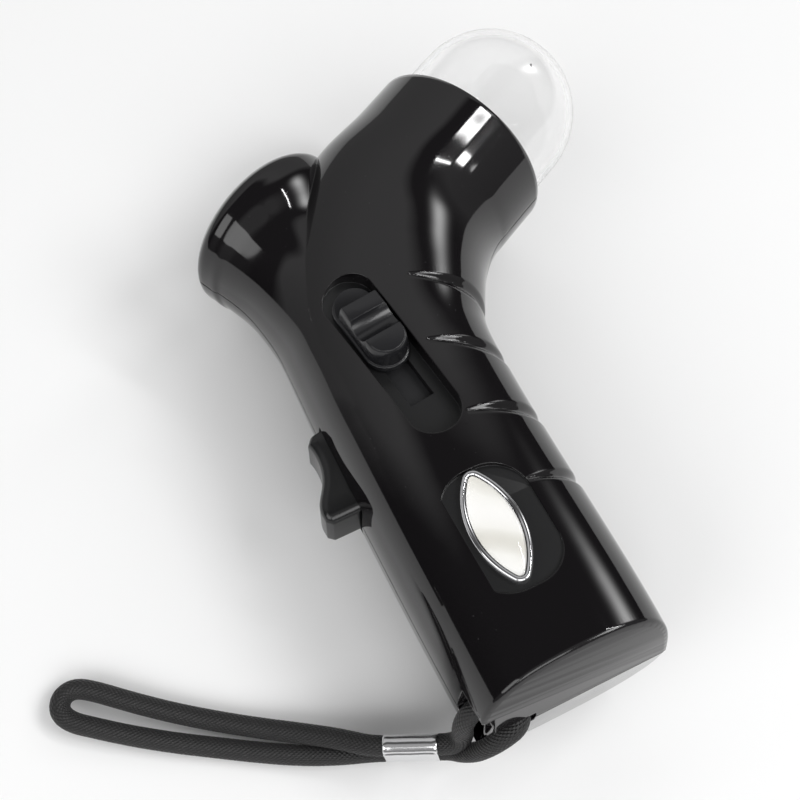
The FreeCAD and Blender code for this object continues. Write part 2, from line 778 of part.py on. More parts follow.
def make_dome():
    """Clear dome with a bayonet skirt; local zero is the barrel rim."""
    side = cylinder(DOME, "Sizes.dome_straight + " + SHOULDER, "-" + SHOULDER)
    skirt = cylinder(SKIRT, "Sizes.dome_skirt", "-Sizes.dome_skirt")
    lugs = sectors("lug", 3, size("lug_width"), 0, DOME, "Sizes.lug_length", "-Sizes.dome_skirt")
    inside = DOME + " - Sizes.dome_wall"
    solid = fuse("dome_solid", [ball(DOME), side, skirt] + lugs)
    hollow = [
        ball(inside),
        cylinder(inside, "Sizes.dome_straight + " + SHOULDER + " - Sizes.dome_wall",
                 "Sizes.dome_wall - " + SHOULDER),
        cylinder(SKIRT + " - Sizes.dome_wall", "Sizes.dome_skirt + 2", "-Sizes.dome_skirt - 1"),
    ]
    keep(cut("treat_dome", solid, hollow), "treat_dome", hopper_frame(0))


def make_lock_ring():
    """Ring in the barrel that the dome's lugs turn behind."""
    ring = cylinder(BARREL_BORE, "Sizes.ring_length",
                    "-Sizes.ring_depth - Sizes.ring_length")
    bore = cylinder(SKIRT + " + Sizes.running_gap", "40", "-30")
    width = size("lug_width") + 1.5
    gaps = sectors("lug_gap", 3, width, size("ring_turn"), DOME + " + Sizes.running_gap", "40", "-30")
    keep(cut("lock_ring", ring, [bore] + gaps), "lock_ring", hopper_frame(0))


def make_funnel():
    """Hopper funnel from the dome's skirt down to the launch tube."""
    top = "-(Sizes.dome_skirt + Sizes.seat_gap)"
    base = top + " - Sizes.funnel_flange"
    low = f"-{feed_depth() - size('tube_bore') + 2:.3f}"
    neck = "-Sizes.funnel_depth"
    throat = "Sizes.feed_radius"
    rim = BARREL_BORE
    wide = BARREL_BORE + " - Sizes.funnel_step"
    points = [
        (rim, top),
        (rim, base),
        (wide, base),
        (throat + " + Sizes.funnel_wall", neck + " - 0.3"),
        (throat + " + Sizes.funnel_wall", low),
        (throat, low),
        (throat, neck),
        (wide + " - Sizes.funnel_wall", base),
        (wide + " - Sizes.funnel_wall", top),
    ]
    body = turned_body("funnel_body", points)
    body.Placement = hopper_frame(0)
    tube = cylinder("Sizes.tube_bore + Sizes.tube_wall + Sizes.clearance", "120")
    tube.Placement = launch_frame(120)
    funnel = cut("hopper_funnel", body, [tube])
    keep(funnel, "hopper_funnel")


def make_tube():
    """Launch tube with its feed window, stem slot and sear window."""
    rear = "Sizes.tube_rear"
    length = rear + " - Sizes.tube_front"
    outside = cylinder("Sizes.tube_bore + Sizes.tube_wall", length, "-" + rear)
    bore = cylinder("Sizes.tube_bore", length + " + 2", "-" + rear + " - 1")
    lead = cylinder("Sizes.lead_bore", "Sizes.lead_length + 1", "-Sizes.tube_front - Sizes.lead_length")
    window = cylinder("Sizes.feed_radius", "40")
    window.Placement = launch_frame(0).inverse() * hopper_frame(feed_depth())
    gap = "2 * Sizes.clearance"
    slot_length = "Sizes.stem_length + Sizes.travel + " + gap
    slot_low = "-(Sizes.knob_station + Sizes.travel + Sizes.stem_length / 2 + Sizes.clearance)"
    slot = box("20", "Sizes.slot_width", slot_length, "2", "-Sizes.slot_width / 2", slot_low)
    sear_width = "(Sizes.sear_thickness + 4 * Sizes.clearance)"
    sear_low = f"-{sear_station() + 6.5:.3f}"
    sear = box(sear_width, "12", "9", "-" + sear_width + " / 2", "-16", sear_low)
    tube = cut("launch_tube", outside, [bore, lead, window, slot, sear])
    keep(tube, "launch_tube", launch_frame(0))


def sear_station():
    """Station of the sear's tip behind the mouth."""
    tip = plan(*SEAR_OUTLINE[0])
    ahead = heading(-size("launch_angle"))
    return (plan(size("muzzle_x"), size("muzzle_y")) - tip).dot(ahead)


def make_liner():
    """Funnel-shaped liner from the launch tube to the bell's mouth."""
    ahead = heading(-size("muzzle_angle"))
    mouth = plan(size("muzzle_x"), size("muzzle_y"))
    wide = size("bell_radius") - size("wall") - size("clearance")
    front = size("tube_front")
    bore = size("tube_bore")
    lap = size("tube_wall") + size("clearance") / 2 + size("liner_wall")
    narrow = bore + lap
    reach = front + size("liner_lap")

    def ring(frame, radius):
        circle = Part.Circle(Vector(0, 0, 0), Vector(0, 0, 1), radius).toShape()
        circle.Placement = frame
        return Part.Wire([circle])

    lip = along(ahead, mouth - ahead * 0.6)
    back = along(ahead, mouth - ahead * 2.6)
    outside = Part.makeLoft([ring(lip, wide), ring(back, wide)], True, True)
    cone = Part.makeLoft([ring(back, wide), ring(launch_frame(reach), narrow)], True, True)
    lead = size("lead_bore")
    hole = Part.makeLoft([ring(along(ahead, mouth), wide - 1.4), ring(launch_frame(front), lead)], True, True)
    socket = launch_rod(bore + size("tube_wall") + size("clearance") / 2, reach + 1, front)
    mouth_cut = along(ahead, mouth - ahead * 0.6)
    nose = Part.makeCylinder(wide, 5)
    nose.Placement = mouth_cut
    item = doc.addObject("Part::Feature", "muzzle_liner")
    item.Shape = outside.fuse(cone).cut([hole, socket, nose]).removeSplitter()
    keep(item, "muzzle_liner")


def plunger_face():
    """Station of the plunger's front, without its pad, at rest."""
    return feed_station() - size("feed_radius") - 1.0 + size("pad_thickness")


def make_plunger():
    """Cup-shaped plunger with a window for the stem and a catch for the sear."""
    face = f"{plunger_face():.3f}"
    radius = "(Sizes.tube_bore - Sizes.running_gap)"
    inside = radius + " - Sizes.plunger_wall"
    points = [
        ("0", "0"),
        (radius, "0"),
        (radius, "-Sizes.plunger_length"),
        (inside, "-Sizes.plunger_length"),
        (inside, "-Sizes.plunger_front"),
        ("0", "-Sizes.plunger_front"),
    ]
    cup = turned_body("plunger_cup", points)
    stem_low = f"-(Sizes.knob_station - {face} + Sizes.stem_length / 2)"
    stem = box("20", stem_width(), "Sizes.stem_length", "0", "-" + stem_width() + " / 2", stem_low)
    catch_width = "(Sizes.sear_thickness + 4 * Sizes.clearance)"
    catch_low = f"-({sear_station():.3f} - Sizes.travel - {face} + 2.2)"
    catch = box(catch_width, "10", "4.4", "-" + catch_width + " / 2", "-18", catch_low)
    plunger = cut("plunger", cup, [stem, catch])
    keep(plunger, "plunger", launch_frame(plunger_face()))
    rim = "Sizes.tube_bore - 0.5"
    top = "Sizes.pad_thickness"
    pad = turned_body("plunger_pad", [
        ("0", "0"), (rim, "0"), (rim, top + " - 0.5"), (rim + " - 0.5", top), ("0", top),
    ])
    keep(pad, "plunger_pad", launch_frame(plunger_face()))


def stem_width():
    """Width of the slider stem, inside its slot."""
    return "(Sizes.slot_width - 2 * Sizes.clearance)"


def coil(radius, wire, length, turns):
    """Helical spring on local Z, from zero to its length."""
    rise = length - wire
    helix = Part.makeHelix(rise / turns, rise, radius)
    helix.translate(Vector(0, 0, wire / 2))
    start = Vector(radius, 0, wire / 2)
    heading_up = Vector(0, 2 * math.pi * radius, rise / turns)
    ring = Part.Wire([Part.Circle(start, heading_up, wire / 2).toShape()])
    return Part.Wire(helix.Edges).makePipeShell([ring], True, True)


def make_main_spring():
    """Main spring between the plunger's front wall and the spring seat."""
    wire = size("spring_wire")
    skirt = size("tube_bore") - size("running_gap") - size("plunger_wall")
    radius = skirt - size("spring_gap") - wire / 2
    front = plunger_face() + size("plunger_front")
    gap = size("running_gap")
    item = doc.addObject("Part::Feature", "main_spring")
    item.Shape = coil(radius, wire, size("seat_depth") - front - 2 * gap, size("spring_turns"))
    keep(item, "main_spring", launch_frame(size("seat_depth") - gap))


def make_seat():
    """Seat with a rod that guides the main spring and a spigot in the rear rib."""
    rod = "(Sizes.tube_bore - Sizes.running_gap - Sizes.plunger_wall - Sizes.spring_gap - Sizes.spring_wire - 0.5)"
    flange = "(Sizes.tube_bore - Sizes.clearance)"
    points = [
        ("0", "Sizes.seat_nose"),
        (rod + " - 1", "Sizes.seat_nose"),
        (rod, "Sizes.seat_nose - 1"),
        (rod, "0"),
        (flange, "0"),
        (flange, "-Sizes.seat_thickness"),
        ("Sizes.spigot_radius", "-Sizes.seat_thickness"),
        ("Sizes.spigot_radius", "-Sizes.seat_thickness - Sizes.bulkhead"),
        ("0", "-Sizes.seat_thickness - Sizes.bulkhead"),
    ]
    keep(turned_body("spring_seat", points), "spring_seat", launch_frame(size("seat_depth")))


# Slider


def obround_sketch(body, length, width):
    """Outline with round ends in the body's XY plane, tied to the sheet."""
    sketch = body.newObject("Sketcher::SketchObject", body.Name + "_outline")
    plane = [item for item in body.Origin.OriginFeatures if item.Role == "XY_Plane"][0]
    sketch.AttachmentSupport = (plane, [""])
    sketch.MapMode = "FlatFace"
    radius = number(width) / 2
    reach = number(length) / 2 - radius
    east = Part.LineSegment(Vector(radius, -reach, 0), Vector(radius, reach, 0))
    west = Part.LineSegment(Vector(-radius, reach, 0), Vector(-radius, -reach, 0))
    up = Vector(0, 0, 1)
    north = Part.ArcOfCircle(Part.Circle(Vector(0, reach, 0), up, radius), 0, math.pi)
    south = Part.ArcOfCircle(Part.Circle(Vector(0, -reach, 0), up, radius), math.pi, 2 * math.pi)
    for piece in (east, north, west, south):
        sketch.addGeometry(piece, False)
    for index in range(4):
        sketch.addConstraint(Sketcher.Constraint("Coincident", index, 2, (index + 1) % 4, 1))
    half = f"({width}) / 2"
    far = f"({length}) / 2 - {half}"
    ties = (
        ("DistanceX", 0, 1, half), ("DistanceY", 0, 1, f"-({far})"),
        ("DistanceX", 0, 2, half), ("DistanceY", 0, 2, far),
        ("DistanceX", 2, 1, f"-{half}"), ("DistanceY", 2, 1, far),
        ("DistanceX", 2, 2, f"-{half}"), ("DistanceY", 2, 2, f"-({far})"),
        ("DistanceY", 1, 3, far), ("DistanceY", 3, 3, f"-({far})"),
    )
    for kind, item, end, text in ties:
        tie = sketch.addConstraint(Sketcher.Constraint(kind, -1, 1, item, end, number(text)))
        sketch.setExpression(f"Constraints[{tie}]", text)
    return sketch


def obround_body(label, length, width, height):
    """Body padded up from an outline with round ends."""
    body = doc.addObject("PartDesign::Body", label)
    pad = body.newObject("PartDesign::Pad", label + "_pad")
    sketch = obround_sketch(body, length, width)
    pad.Profile = sketch
    pad.Length = number(height)
    pad.setExpression("Length", height)
    body.Tip = pad
    doc.recompute()
    return body


def make_slider():
    """Thumb knob, its stem through the slot, and the dust strip under the floor."""
    lift = "2 * Sizes.clearance"
    base = obround_body("knob_base", "Sizes.knob_length", "Sizes.knob_width", "Sizes.knob_base")
    grip_width = "(Sizes.knob_width - 1.2)"
    grip = obround_body("knob_grip", "Sizes.knob_length - 1.4", grip_width, "Sizes.knob_height - " + lift)
    front = box("20", "20", "20", "-10", "6.4", "Sizes.knob_base")
    across = Rotation(Vector(0, 1, 0), 90)
    scoop = cylinder("Sizes.knob_scoop", "40", "Sizes.knob_height + 0.6", across)
    bind(scoop, x="-20", y="-2.2")
    raised = cut("knob_raised", grip, [front, scoop])
    width = stem_width()
    low_y = "-Sizes.stem_length / 2"
    socket = box(width, "Sizes.stem_length", "3", "-" + width + " / 2", low_y, "-1")
    knob = cut("slider_knob", fuse("knob_solid", [base, raised]), [socket])
    floor = size("pocket_floor")
    station = size("knob_station")
    keep(knob, "slider_knob", flat_on_launch(station, 0, floor + 2 * size("clearance")))

    foot = "(Sizes.tube_bore - Sizes.running_gap - Sizes.plunger_wall - Sizes.clearance)"
    height = "Sizes.pocket_floor + 2 * Sizes.clearance + 2 - " + foot
    side = width + " / 2"
    end = "Sizes.stem_length / 2"
    corners = [("-" + side, "-" + end), (side, "-" + end), (side, end), ("-" + side, end)]
    stem = block_body("slider_stem", corners, height)
    keep(stem, "slider_stem", flat_on_launch(station, 0, number(foot)))

    strip = box("Sizes.shutter_width", "Sizes.shutter_length", "Sizes.shutter_thickness",
                "-Sizes.shutter_width / 2", "-Sizes.shutter_length / 2", "0")
    hole = box(width, "Sizes.stem_length", "9", "-" + width + " / 2", low_y, "-4")
    shutter = cut("slot_shutter", strip, [hole])
    low = shutter_top() - size("shutter_thickness")
    keep(shutter, "slot_shutter", flat_on_launch(station, 0, low))


# Trigger and sear

# Plan points of the trigger's finger face, top first
FINGER_FACE = [
    (-26.5, -3.6), (-26.1, -7.0), (-26.5, -10.6), (-28.3, -15.0), (-30.7, -18.8), (-31.3, -21.6),
]

# Plan points of the rest of the trigger, from its lower lip round to its top
TRIGGER_BODY = [
    (-31.2, -23.4), (-29.8, -24.7), (-20.3, -24.7), (-20.3, -33.0), (-18.5, -33.0),
    (-18.5, -30.6), (-18.8, -28.6), (-19.0, -24.0), (-20.0, -20.0), (-20.0, -8.2), (-17.6, -7.0),
    (-15.6, -5.4), (-15.6, -3.6), (-18.0, -2.2), (-25.4, -2.2),
]

# Plan points of the sear, its tip first
SEAR_OUTLINE = [
    (-11.1, -13.4), (-11.1, -15.2), (-12.9, -19.0), (-14.2, -23.6), (-15.6, -31.3),
    (-18.2, -31.3), (-18.2, -29.6), (-16.8, -24.0), (-16.8, -19.2), (-13.4, -13.4),
]


def slab_of(outline, thickness):
    """Upright slab over an outline in the plan, centred on the parting plane."""
    face = Part.Face(Part.Wire(Part.__sortEdges__(outline)))
    slab = face.extrude(Vector(0, 0, thickness))
    slab.translate(Vector(0, 0, -thickness / 2))
    return slab


def pivot(slab, name, eye):
    """Add a round eye on the pin and drill it."""
    x = size(name + "_pin_x")
    y = size(name + "_pin_y")
    half = size(name + "_thickness") / 2
    drill = upright(size("pin_radius") + size("running_gap"), x, y, -half - 1, half + 1)
    return slab.fuse(upright(eye, x, y, -half, half)).cut(drill).removeSplitter()


def make_trigger():
    """Trigger with its hollowed finger face and a tail that works the sear."""
    face = Part.BSplineCurve()
    face.interpolate([plan(x, y) for x, y in FINGER_FACE])
    corners = [plan(x, y) for x, y in FINGER_FACE[-1:] + TRIGGER_BODY + FINGER_FACE[:1]]
    sides = [Part.LineSegment(a, b).toShape() for a, b in zip(corners, corners[1:])]
    slab = slab_of([face.toShape()] + sides, size("trigger_thickness"))
    soft = []
    for edge in slab.Edges:
        middle = edge.valueAt((edge.FirstParameter + edge.LastParameter) / 2)
        flat = abs(edge.tangentAt(edge.FirstParameter).z) < 0.5
        if flat and middle.x < size("plan_x") - 23.0:
            soft.append(edge)
    slab = slab.makeFillet(size("trigger_edge"), soft)
    item = doc.addObject("Part::Feature", "trigger")
    item.Shape = pivot(slab, "trigger", size("pin_radius") + 1.6)
    keep(item, "trigger")


def make_sear():
    """Catch that drops into the cocked plunger."""
    corners = [plan(x, y) for x, y in SEAR_OUTLINE + SEAR_OUTLINE[:1]]
    sides = [Part.LineSegment(a, b).toShape() for a, b in zip(corners, corners[1:])]
    item = doc.addObject("Part::Feature", "sear")
    item.Shape = pivot(slab_of(sides, size("sear_thickness")), "sear", size("pin_radius") + 1.2)
    keep(item, "sear")


def make_pins():
    """Pins of the trigger and the sear, pressed into both halves."""
    for name in ("trigger", "sear"):
        label = name + "_pin"
        end = f"(Sizes.{name}_thickness / 2 + 2 * Sizes.clearance + Sizes.press_depth)"
        rim = "Sizes.pin_radius"
        pin = turned_body(label, [
            ("0", "-" + end), (rim + " - 0.3", "-" + end), (rim, "0.3 - " + end),
            (rim, end + " - 0.3"), (rim + " - 0.3", end), ("0", end),
        ])
        keep(pin, label, Placement(plan(size(label + "_x"), size(label + "_y")), Rotation()))


def small_spring(label, start_x, end_x, y, turns):
    """Small return spring that lies across the handle."""
    item = doc.addObject("Part::Feature", label)
    item.Shape = coil(size("return_radius"), size("return_wire"), end_x - start_x, turns)
    keep(item, label, Placement(plan(start_x, y), Rotation(Vector(0, 0, 1), Vector(1, 0, 0))))


def make_return_springs():
    """Springs that push the trigger and the sear back, seated on the launch tube."""
    for label, start, y, turns in (("trigger_spring", -19.9, -11.0, 5), ("sear_spring", -14.8, -28.2, 3)):
        station = (size("muzzle_y") - y) / math.cos(math.radians(size("launch_angle")))
        axis_x = size("muzzle_x") + station * math.sin(math.radians(size("launch_angle")))
        wall = (size("tube_bore") + size("tube_wall")) / math.cos(math.radians(size("launch_angle")))
        small_spring(label, start, axis_x - wall - 2 * size("clearance"), y, turns)


def make_screws():
    """Pan-head screws that hold the two halves together."""
    screws = []
    seat = -size("screw_seat")
    across = size("screw_cross")
    narrow = size("screw_cross_width")
    for x, y in SCREWS:
        head = upright(size("screw_head"), x, y, seat - size("screw_head_height"), seat)
        shank = upright(size("screw_radius"), x, y, seat, size("screw_reach"))
        slots = []
        for long, wide in ((across, narrow), (narrow, across)):
            corner = plan(x - long / 2, y - wide / 2, seat - size("screw_head_height"))
            slots.append(Part.makeBox(long, wide, size("screw_cross_depth"), corner))
        screws.append(head.fuse(shank).cut(slots).removeSplitter())
    item = doc.addObject("Part::Feature", "shell_screws")
    item.Shape = Part.makeCompound(screws)
    keep(item, "shell_screws")


# Badge


def eye_slab(label, length, width, height, low="0"):
    """Slab with the badge's pointed oval outline, long side along local Y."""
    radius = f"(({length}) ^ 2 + ({width}) ^ 2) / (4 * ({width}))"
    offset = f"({radius} - ({width}) / 2)"
    left = bind(cylinder(radius, height, low), x=offset)
    right = bind(cylinder(radius, height, low), x="-" + offset)
    slab = doc.addObject("Part::Common", label + "_blank")
    slab.Base = left
    slab.Tool = right
    doc.recompute()
    soft = doc.addObject("Part::Fillet", label)
    soft.Base = slab
    tips = []
    for index, edge in enumerate(slab.Shape.Edges, start=1):
        if abs(edge.tangentAt(edge.FirstParameter).z) > 0.99:
            tips.append((index, size("badge_tip"), size("badge_tip")))
    soft.Edges = tips
    doc.recompute()
    return soft


def make_badge():
    """Bright rim, plain plate and crowned clear lens in the handle's recess."""
    turn = Rotation(Vector(0, 0, 1), size("badge_turn"))
    place = Placement(plan(size("badge_x"), size("badge_y"), badge_floor()), turn)
    inner = ("Sizes.badge_length - 3.2 * Sizes.badge_rim", "Sizes.badge_width - 2 * Sizes.badge_rim")
    outline = eye_slab("rim_outside", "Sizes.badge_length", "Sizes.badge_width", "Sizes.badge_height")
    opening = eye_slab("rim_inside", inner[0], inner[1], "Sizes.badge_height + 2", "-1")
    keep(cut("badge_rim", outline, [opening]), "badge_rim", place)
    gap = " - Sizes.running_gap"
    plate = eye_slab("badge_plate", inner[0] + gap, inner[1] + gap, "Sizes.plate_thickness")
    keep(plate, "badge_plate", place)
    block = eye_slab("lens_block", inner[0] + gap, inner[1] + gap, "5", "Sizes.plate_thickness")
    crown = doc.addObject("Part::Ellipsoid", "lens_crown")
    bind(crown, Radius1="Sizes.lens_crown", Radius2="Sizes.badge_width * 0.62",
         Radius3="Sizes.badge_length * 0.6", z="Sizes.plate_thickness - 0.6")
    crown.Angle1 = 0
    lens = doc.addObject("Part::Common", "badge_lens")
    lens.Base = block
    lens.Tool = crown
    doc.recompute()
    keep(lens, "badge_lens", place)


# Wrist strap

# Middle of the ferrule's face on the housing side, and the line of its run
FERRULE_NEAR = (-29.1, -77.3, 9.6)
FERRULE_RUN = Vector(0.879, -0.457, 0.129)

# Route from the ferrule through the butt and back, heights from the surface below
TETHER_ROUTE = [
    (-25.0, -82.0, 8.9), (-23.0, -84.5, 14.6), (-20.4, -85.2, 20.4), (-17.4, -85.4, 24.2),
    (-13.9, -84.9, 25.6), (-11.9, -82.6, 25.8), (-11.9, -79.6, 26.0), (-13.7, -77.4, 26.2),
    (-16.9, -76.9, 26.4), (-20.2, -77.0, 26.0), (-22.9, -77.6, 23.9), (-24.1, -78.4, 20.6),
    (-24.1, -79.0, 17.2), (-24.8, -79.0, 14.0),
]

# Route of the hand loop, from the ferrule's upper strand round to its lower one
LOOP_ROUTE = [
    (-48.4, -64.6, 7.2), (-55.8, -58.6, 4.9), (-64.4, -52.3, 3.5), (-72.8, -46.0, 3.0),
    (-81.0, -39.6, 3.2), (-88.8, -32.9, 3.7), (-95.2, -27.0, 4.2), (-99.2, -24.1, 4.3),
    (-102.9, -24.7, 4.3), (-104.6, -27.9, 4.2), (-103.0, -31.4, 4.0), (-98.9, -34.8, 3.8),
    (-92.0, -40.3, 3.3), (-83.5, -46.4, 2.9), (-74.6, -52.2, 2.6), (-65.8, -58.0, 2.6),
    (-57.0, -63.4, 3.1), (-49.4, -67.4, 4.4),
]


def on_floor(x, y, z):
    """A plan point whose height counts from the surface that the launcher lies on."""
    return Vector(size("plan_x") + x, size("plan_y") + y, z)


def cord_path(points):
    """Straight runs joined by tangent arcs as large as the runs allow."""
    edges = []
    radii = []
    last = points[0]
    for before, corner, after in zip(points, points[1:], points[2:]):
        arrive = corner - before
        leave = after - corner
        reach = 0.45 * min(arrive.Length, leave.Length)
        half_turn = arrive.getAngle(leave) / 2
        radius = reach / math.tan(half_turn)
        arrive.normalize()
        leave.normalize()
        first = corner - arrive * reach
        second = corner + leave * reach
        inward = (leave - arrive).normalize()
        middle = corner + inward * (radius / math.cos(half_turn) - radius)
        edges.append(Part.LineSegment(last, first).toShape())
        edges.append(Part.Arc(first, middle, second).toShape())
        radii.append(radius)
        last = second
    edges.append(Part.LineSegment(last, points[-1]).toShape())
    return Part.Wire(edges), radii


def make_cord(label, points):
    """Plain tube along a route; prints its length and its bends."""
    path, radii = cord_path(points)
    radius = size("cord_radius")
    section = Part.Circle(points[0], points[1] - points[0], radius).toShape()
    tube = path.makePipeShell([Part.Wire([section])], True, True)
    share = tube.Volume / (math.pi * radius ** 2 * path.Length)
    tightest = ", ".join(f"{bend:.1f}" for bend in sorted(radii)[:5])
    print(f"{label}: {path.Length:.1f} mm, tightest bends {tightest}, volume share {share:.4f}")
    item = doc.addObject("Part::Feature", label)
    item.Shape = tube
    keep(item, label)


def make_strap():
    """Wrist strap: tether through the butt, ferrule and hand loop."""
    near = on_floor(*FERRULE_NEAR)
    run = Vector(FERRULE_RUN).normalize()
    far = near - run * size("ferrule_length")
    side = run.cross(Vector(0, 0, 1)).normalize()
    up = side.cross(run)
    frame = Rotation(side, up, run, "ZXY")
    lift = up * (size("strand_pitch") / 2)
    lead = run * size("cord_lead")
    tether = [near - lift, near - lift + lead]
    tether += [on_floor(*point) for point in TETHER_ROUTE]
    tether += [near + lift + lead, near + lift]
    loop = [far + lift, far + lift - lead]
    loop += [on_floor(*point) for point in LOOP_ROUTE]
    loop += [far - lift - lead, far - lift]
    make_cord("strap_tether", tether)
    make_cord("strap_loop", loop)
    body = obround_body("strap_ferrule", "Sizes.ferrule_height", "Sizes.ferrule_width", "Sizes.ferrule_length")
    keep(body, "strap_ferrule", Placement(far, frame))


make_list = [
    make_housing, make_dome, make_lock_ring, make_funnel, make_tube, make_liner,
    make_plunger, make_main_spring, make_seat, make_slider, make_trigger, make_sear,
    make_pins, make_return_springs, make_screws, make_badge, make_strap,
]


def check_document():
    """Stop on any failed object or empty or invalid sub-part."""
    for item in doc.Objects:
        if "Invalid" in item.State or "Error" in item.State:
            raise RuntimeError(f"{item.Label} failed: {item.State}")
    for piece in pieces:
        if piece.Shape.isNull() or not piece.Shape.isValid():
            raise RuntimeError(f"{piece.Label} has no valid shape")


def export():
    """Write each sub-part to its own file."""
    os.makedirs("parts", exist_ok=True)
    for piece in pieces:
        piece.Shape.exportStep(f"parts/{piece.Label}.step")
        print(f"{piece.Label}: {len(piece.Shape.Solids)} solid(s), {piece.Shape.Volume:.1f} mm3")


fill_sheet()
for make in make_list:
    make()
doc.recompute()
check_document()
export()
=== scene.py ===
"""Looks of a hand-held pet treat launcher lying on a pale table."""

import math

import bmesh
import bpy
from bpy.props import FloatProperty, FloatVectorProperty, PointerProperty
from mathutils import Matrix, Vector
from mathutils.bvhtree import BVHTree
from mathutils.interpolate import poly_3d_calc


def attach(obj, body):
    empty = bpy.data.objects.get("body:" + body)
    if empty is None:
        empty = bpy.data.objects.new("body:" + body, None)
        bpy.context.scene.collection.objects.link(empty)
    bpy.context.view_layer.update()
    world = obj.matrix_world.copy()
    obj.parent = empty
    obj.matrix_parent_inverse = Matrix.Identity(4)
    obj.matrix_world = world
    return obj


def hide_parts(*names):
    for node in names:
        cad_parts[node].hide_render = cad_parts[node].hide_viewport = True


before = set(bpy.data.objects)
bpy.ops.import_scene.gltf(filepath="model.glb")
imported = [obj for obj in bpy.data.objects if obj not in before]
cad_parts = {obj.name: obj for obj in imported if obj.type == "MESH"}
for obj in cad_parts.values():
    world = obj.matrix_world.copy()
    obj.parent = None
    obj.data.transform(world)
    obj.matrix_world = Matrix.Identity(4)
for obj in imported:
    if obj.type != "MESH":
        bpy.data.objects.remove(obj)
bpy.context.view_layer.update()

bl_info = {
    "name": "Treat launcher looks",
    "version": (1, 0, 0),
    "blender": (4, 5, 0),
    "location": "3D View > Sidebar > Launcher",
    "description": "Housing, dome, slide, trigger, badge and strap of a pet treat launcher",
    "category": "Object",
}

MM = 0.001
UP = Vector((0, 0, 1))
PLAITS = 8

# Plan coordinates of the housing: +Y along the handle, +X to its back, heights from the parting plane
PLAN_ZERO = Vector((-27.1, -3.5, 26.0))
HANDLE_THICKNESS = 50.0
HANDLE_WIDTH = 50.6
HANDLE_MIDDLE = 1.3
BARREL_RADIUS = 26.0
BELL_RADIUS = 22.7
STEP_HEIGHT = 0.9
BUTT_Y = -84.8
BUTT_LEAN = math.radians(7.0)
RIM = (48.5, 61.5)
HOPPER_ANGLE = math.radians(62.4)
MOUTH = (-9.3, 64.4)
MUZZLE_ANGLE = math.radians(19.5)
LAUNCH_ANGLE = math.radians(6.5)
POCKET_FLOOR = 21.0


def plan(x, y, z=0.0):
    """Point in the part's frame, in millimetres."""
    return PLAN_ZERO + Vector((x, y, z))


def heading(angle):
    """Level direction, an angle right of the handle's axis."""
    return Vector((math.sin(angle), math.cos(angle), 0))


def right_of(direction):
    """Level direction a quarter turn to the right."""
    return Vector((direction.y, -direction.x, 0))


def launch_point(station, side=0.0, z=0.0):
    """Point by its distance behind the mouth and right of the launch axis."""
    ahead = heading(-LAUNCH_ANGLE)
    return plan(*MOUTH, z) - ahead * station + right_of(ahead) * side


# Sizes and colours that a user would change


class HousingSettings(bpy.types.PropertyGroup):
    wall: FloatProperty(
        name="Wall", description="Thickness of the moulded housing",
        default=2.2 * MM, min=0.5 * MM, unit="LENGTH",
    )
    seam: FloatProperty(
        name="Seam", description="Gap that shows between the two halves",
        default=0.45 * MM, min=0.0, unit="LENGTH",
    )
    groove_depth: FloatProperty(
        name="Groove depth", description="Depth of the finger grooves",
        default=1.0 * MM, min=0.0, unit="LENGTH",
    )
    groove_width: FloatProperty(
        name="Groove width", description="Half width of a finger groove",
        default=2.4 * MM, min=0.5 * MM, unit="LENGTH",
    )
    butt_edge: FloatProperty(
        name="Butt edge", description="Radius of the rolled edge round the butt face",
        default=1.1 * MM, min=0.0, unit="LENGTH",
    )


class StrapSettings(bpy.types.PropertyGroup):
    width: FloatProperty(
        name="Width", description="Width of the braided cord",
        default=5.1 * MM, min=1.0 * MM, unit="LENGTH",
    )
    thickness: FloatProperty(
        name="Thickness", description="Thickness of the braided cord",
        default=3.4 * MM, min=1.0 * MM, unit="LENGTH",
    )
    plait: FloatProperty(
        name="Plait", description="Length of one crossing of the braid",
        default=1.15 * MM, min=0.2 * MM, unit="LENGTH",
    )


class StageSettings(bpy.types.PropertyGroup):
    floor: FloatVectorProperty(
        name="Floor", description="Colour of the table",
        default=(0.92, 0.92, 0.92), subtype="COLOR", min=0.0, max=1.0,
    )
    key: FloatProperty(
        name="Lamps", description="Strength of all lamps together",
        default=1.0, min=0.0, subtype="FACTOR",
    )


# Materials


def linear(code):
    """Linear colour of an sRGB hex code."""
    levels = [int(code[i:i + 2], 16) / 255 for i in (1, 3, 5)]
    return [v / 12.92 if v <= 0.04045 else ((v + 0.055) / 1.055) ** 2.4 for v in levels] + [1.0]


def node(material, kind, links=None, **settings):
    """Add a node; links maps its inputs to sockets or fixed values."""
    tree = material.node_tree
    made = tree.nodes.new(kind)
    for name, value in settings.items():
        setattr(made, name, value)
    for name, value in (links or {}).items():
        socket = made.inputs[name]
        if isinstance(value, bpy.types.NodeSocket):
            tree.links.new(value, socket)
        else:
            socket.default_value = value
    return made


def new_material(name, **values):
    """Material with one Principled shader and its fixed values set."""
    material = bpy.data.materials.new(name)
    material.use_nodes = True
    shader = material.node_tree.nodes["Principled BSDF"]
    for socket, value in values.items():
        shader.inputs[socket.replace("_", " ")].default_value = value
    return material, shader


def ramp(material, factor, stops, mode="LINEAR"):
    """Colour ramp over a factor; stops are place and colour code or grey level."""
    made = node(material, "ShaderNodeValToRGB", {"Fac": factor})
    made.color_ramp.interpolation = mode
    elements = made.color_ramp.elements
    while len(elements) < len(stops):
        elements.new(0.5)
    for element, (place, tint) in zip(elements, stops):
        element.position = place
        element.color = linear(tint) if isinstance(tint, str) else (tint, tint, tint, 1)
    return made.outputs["Color"]


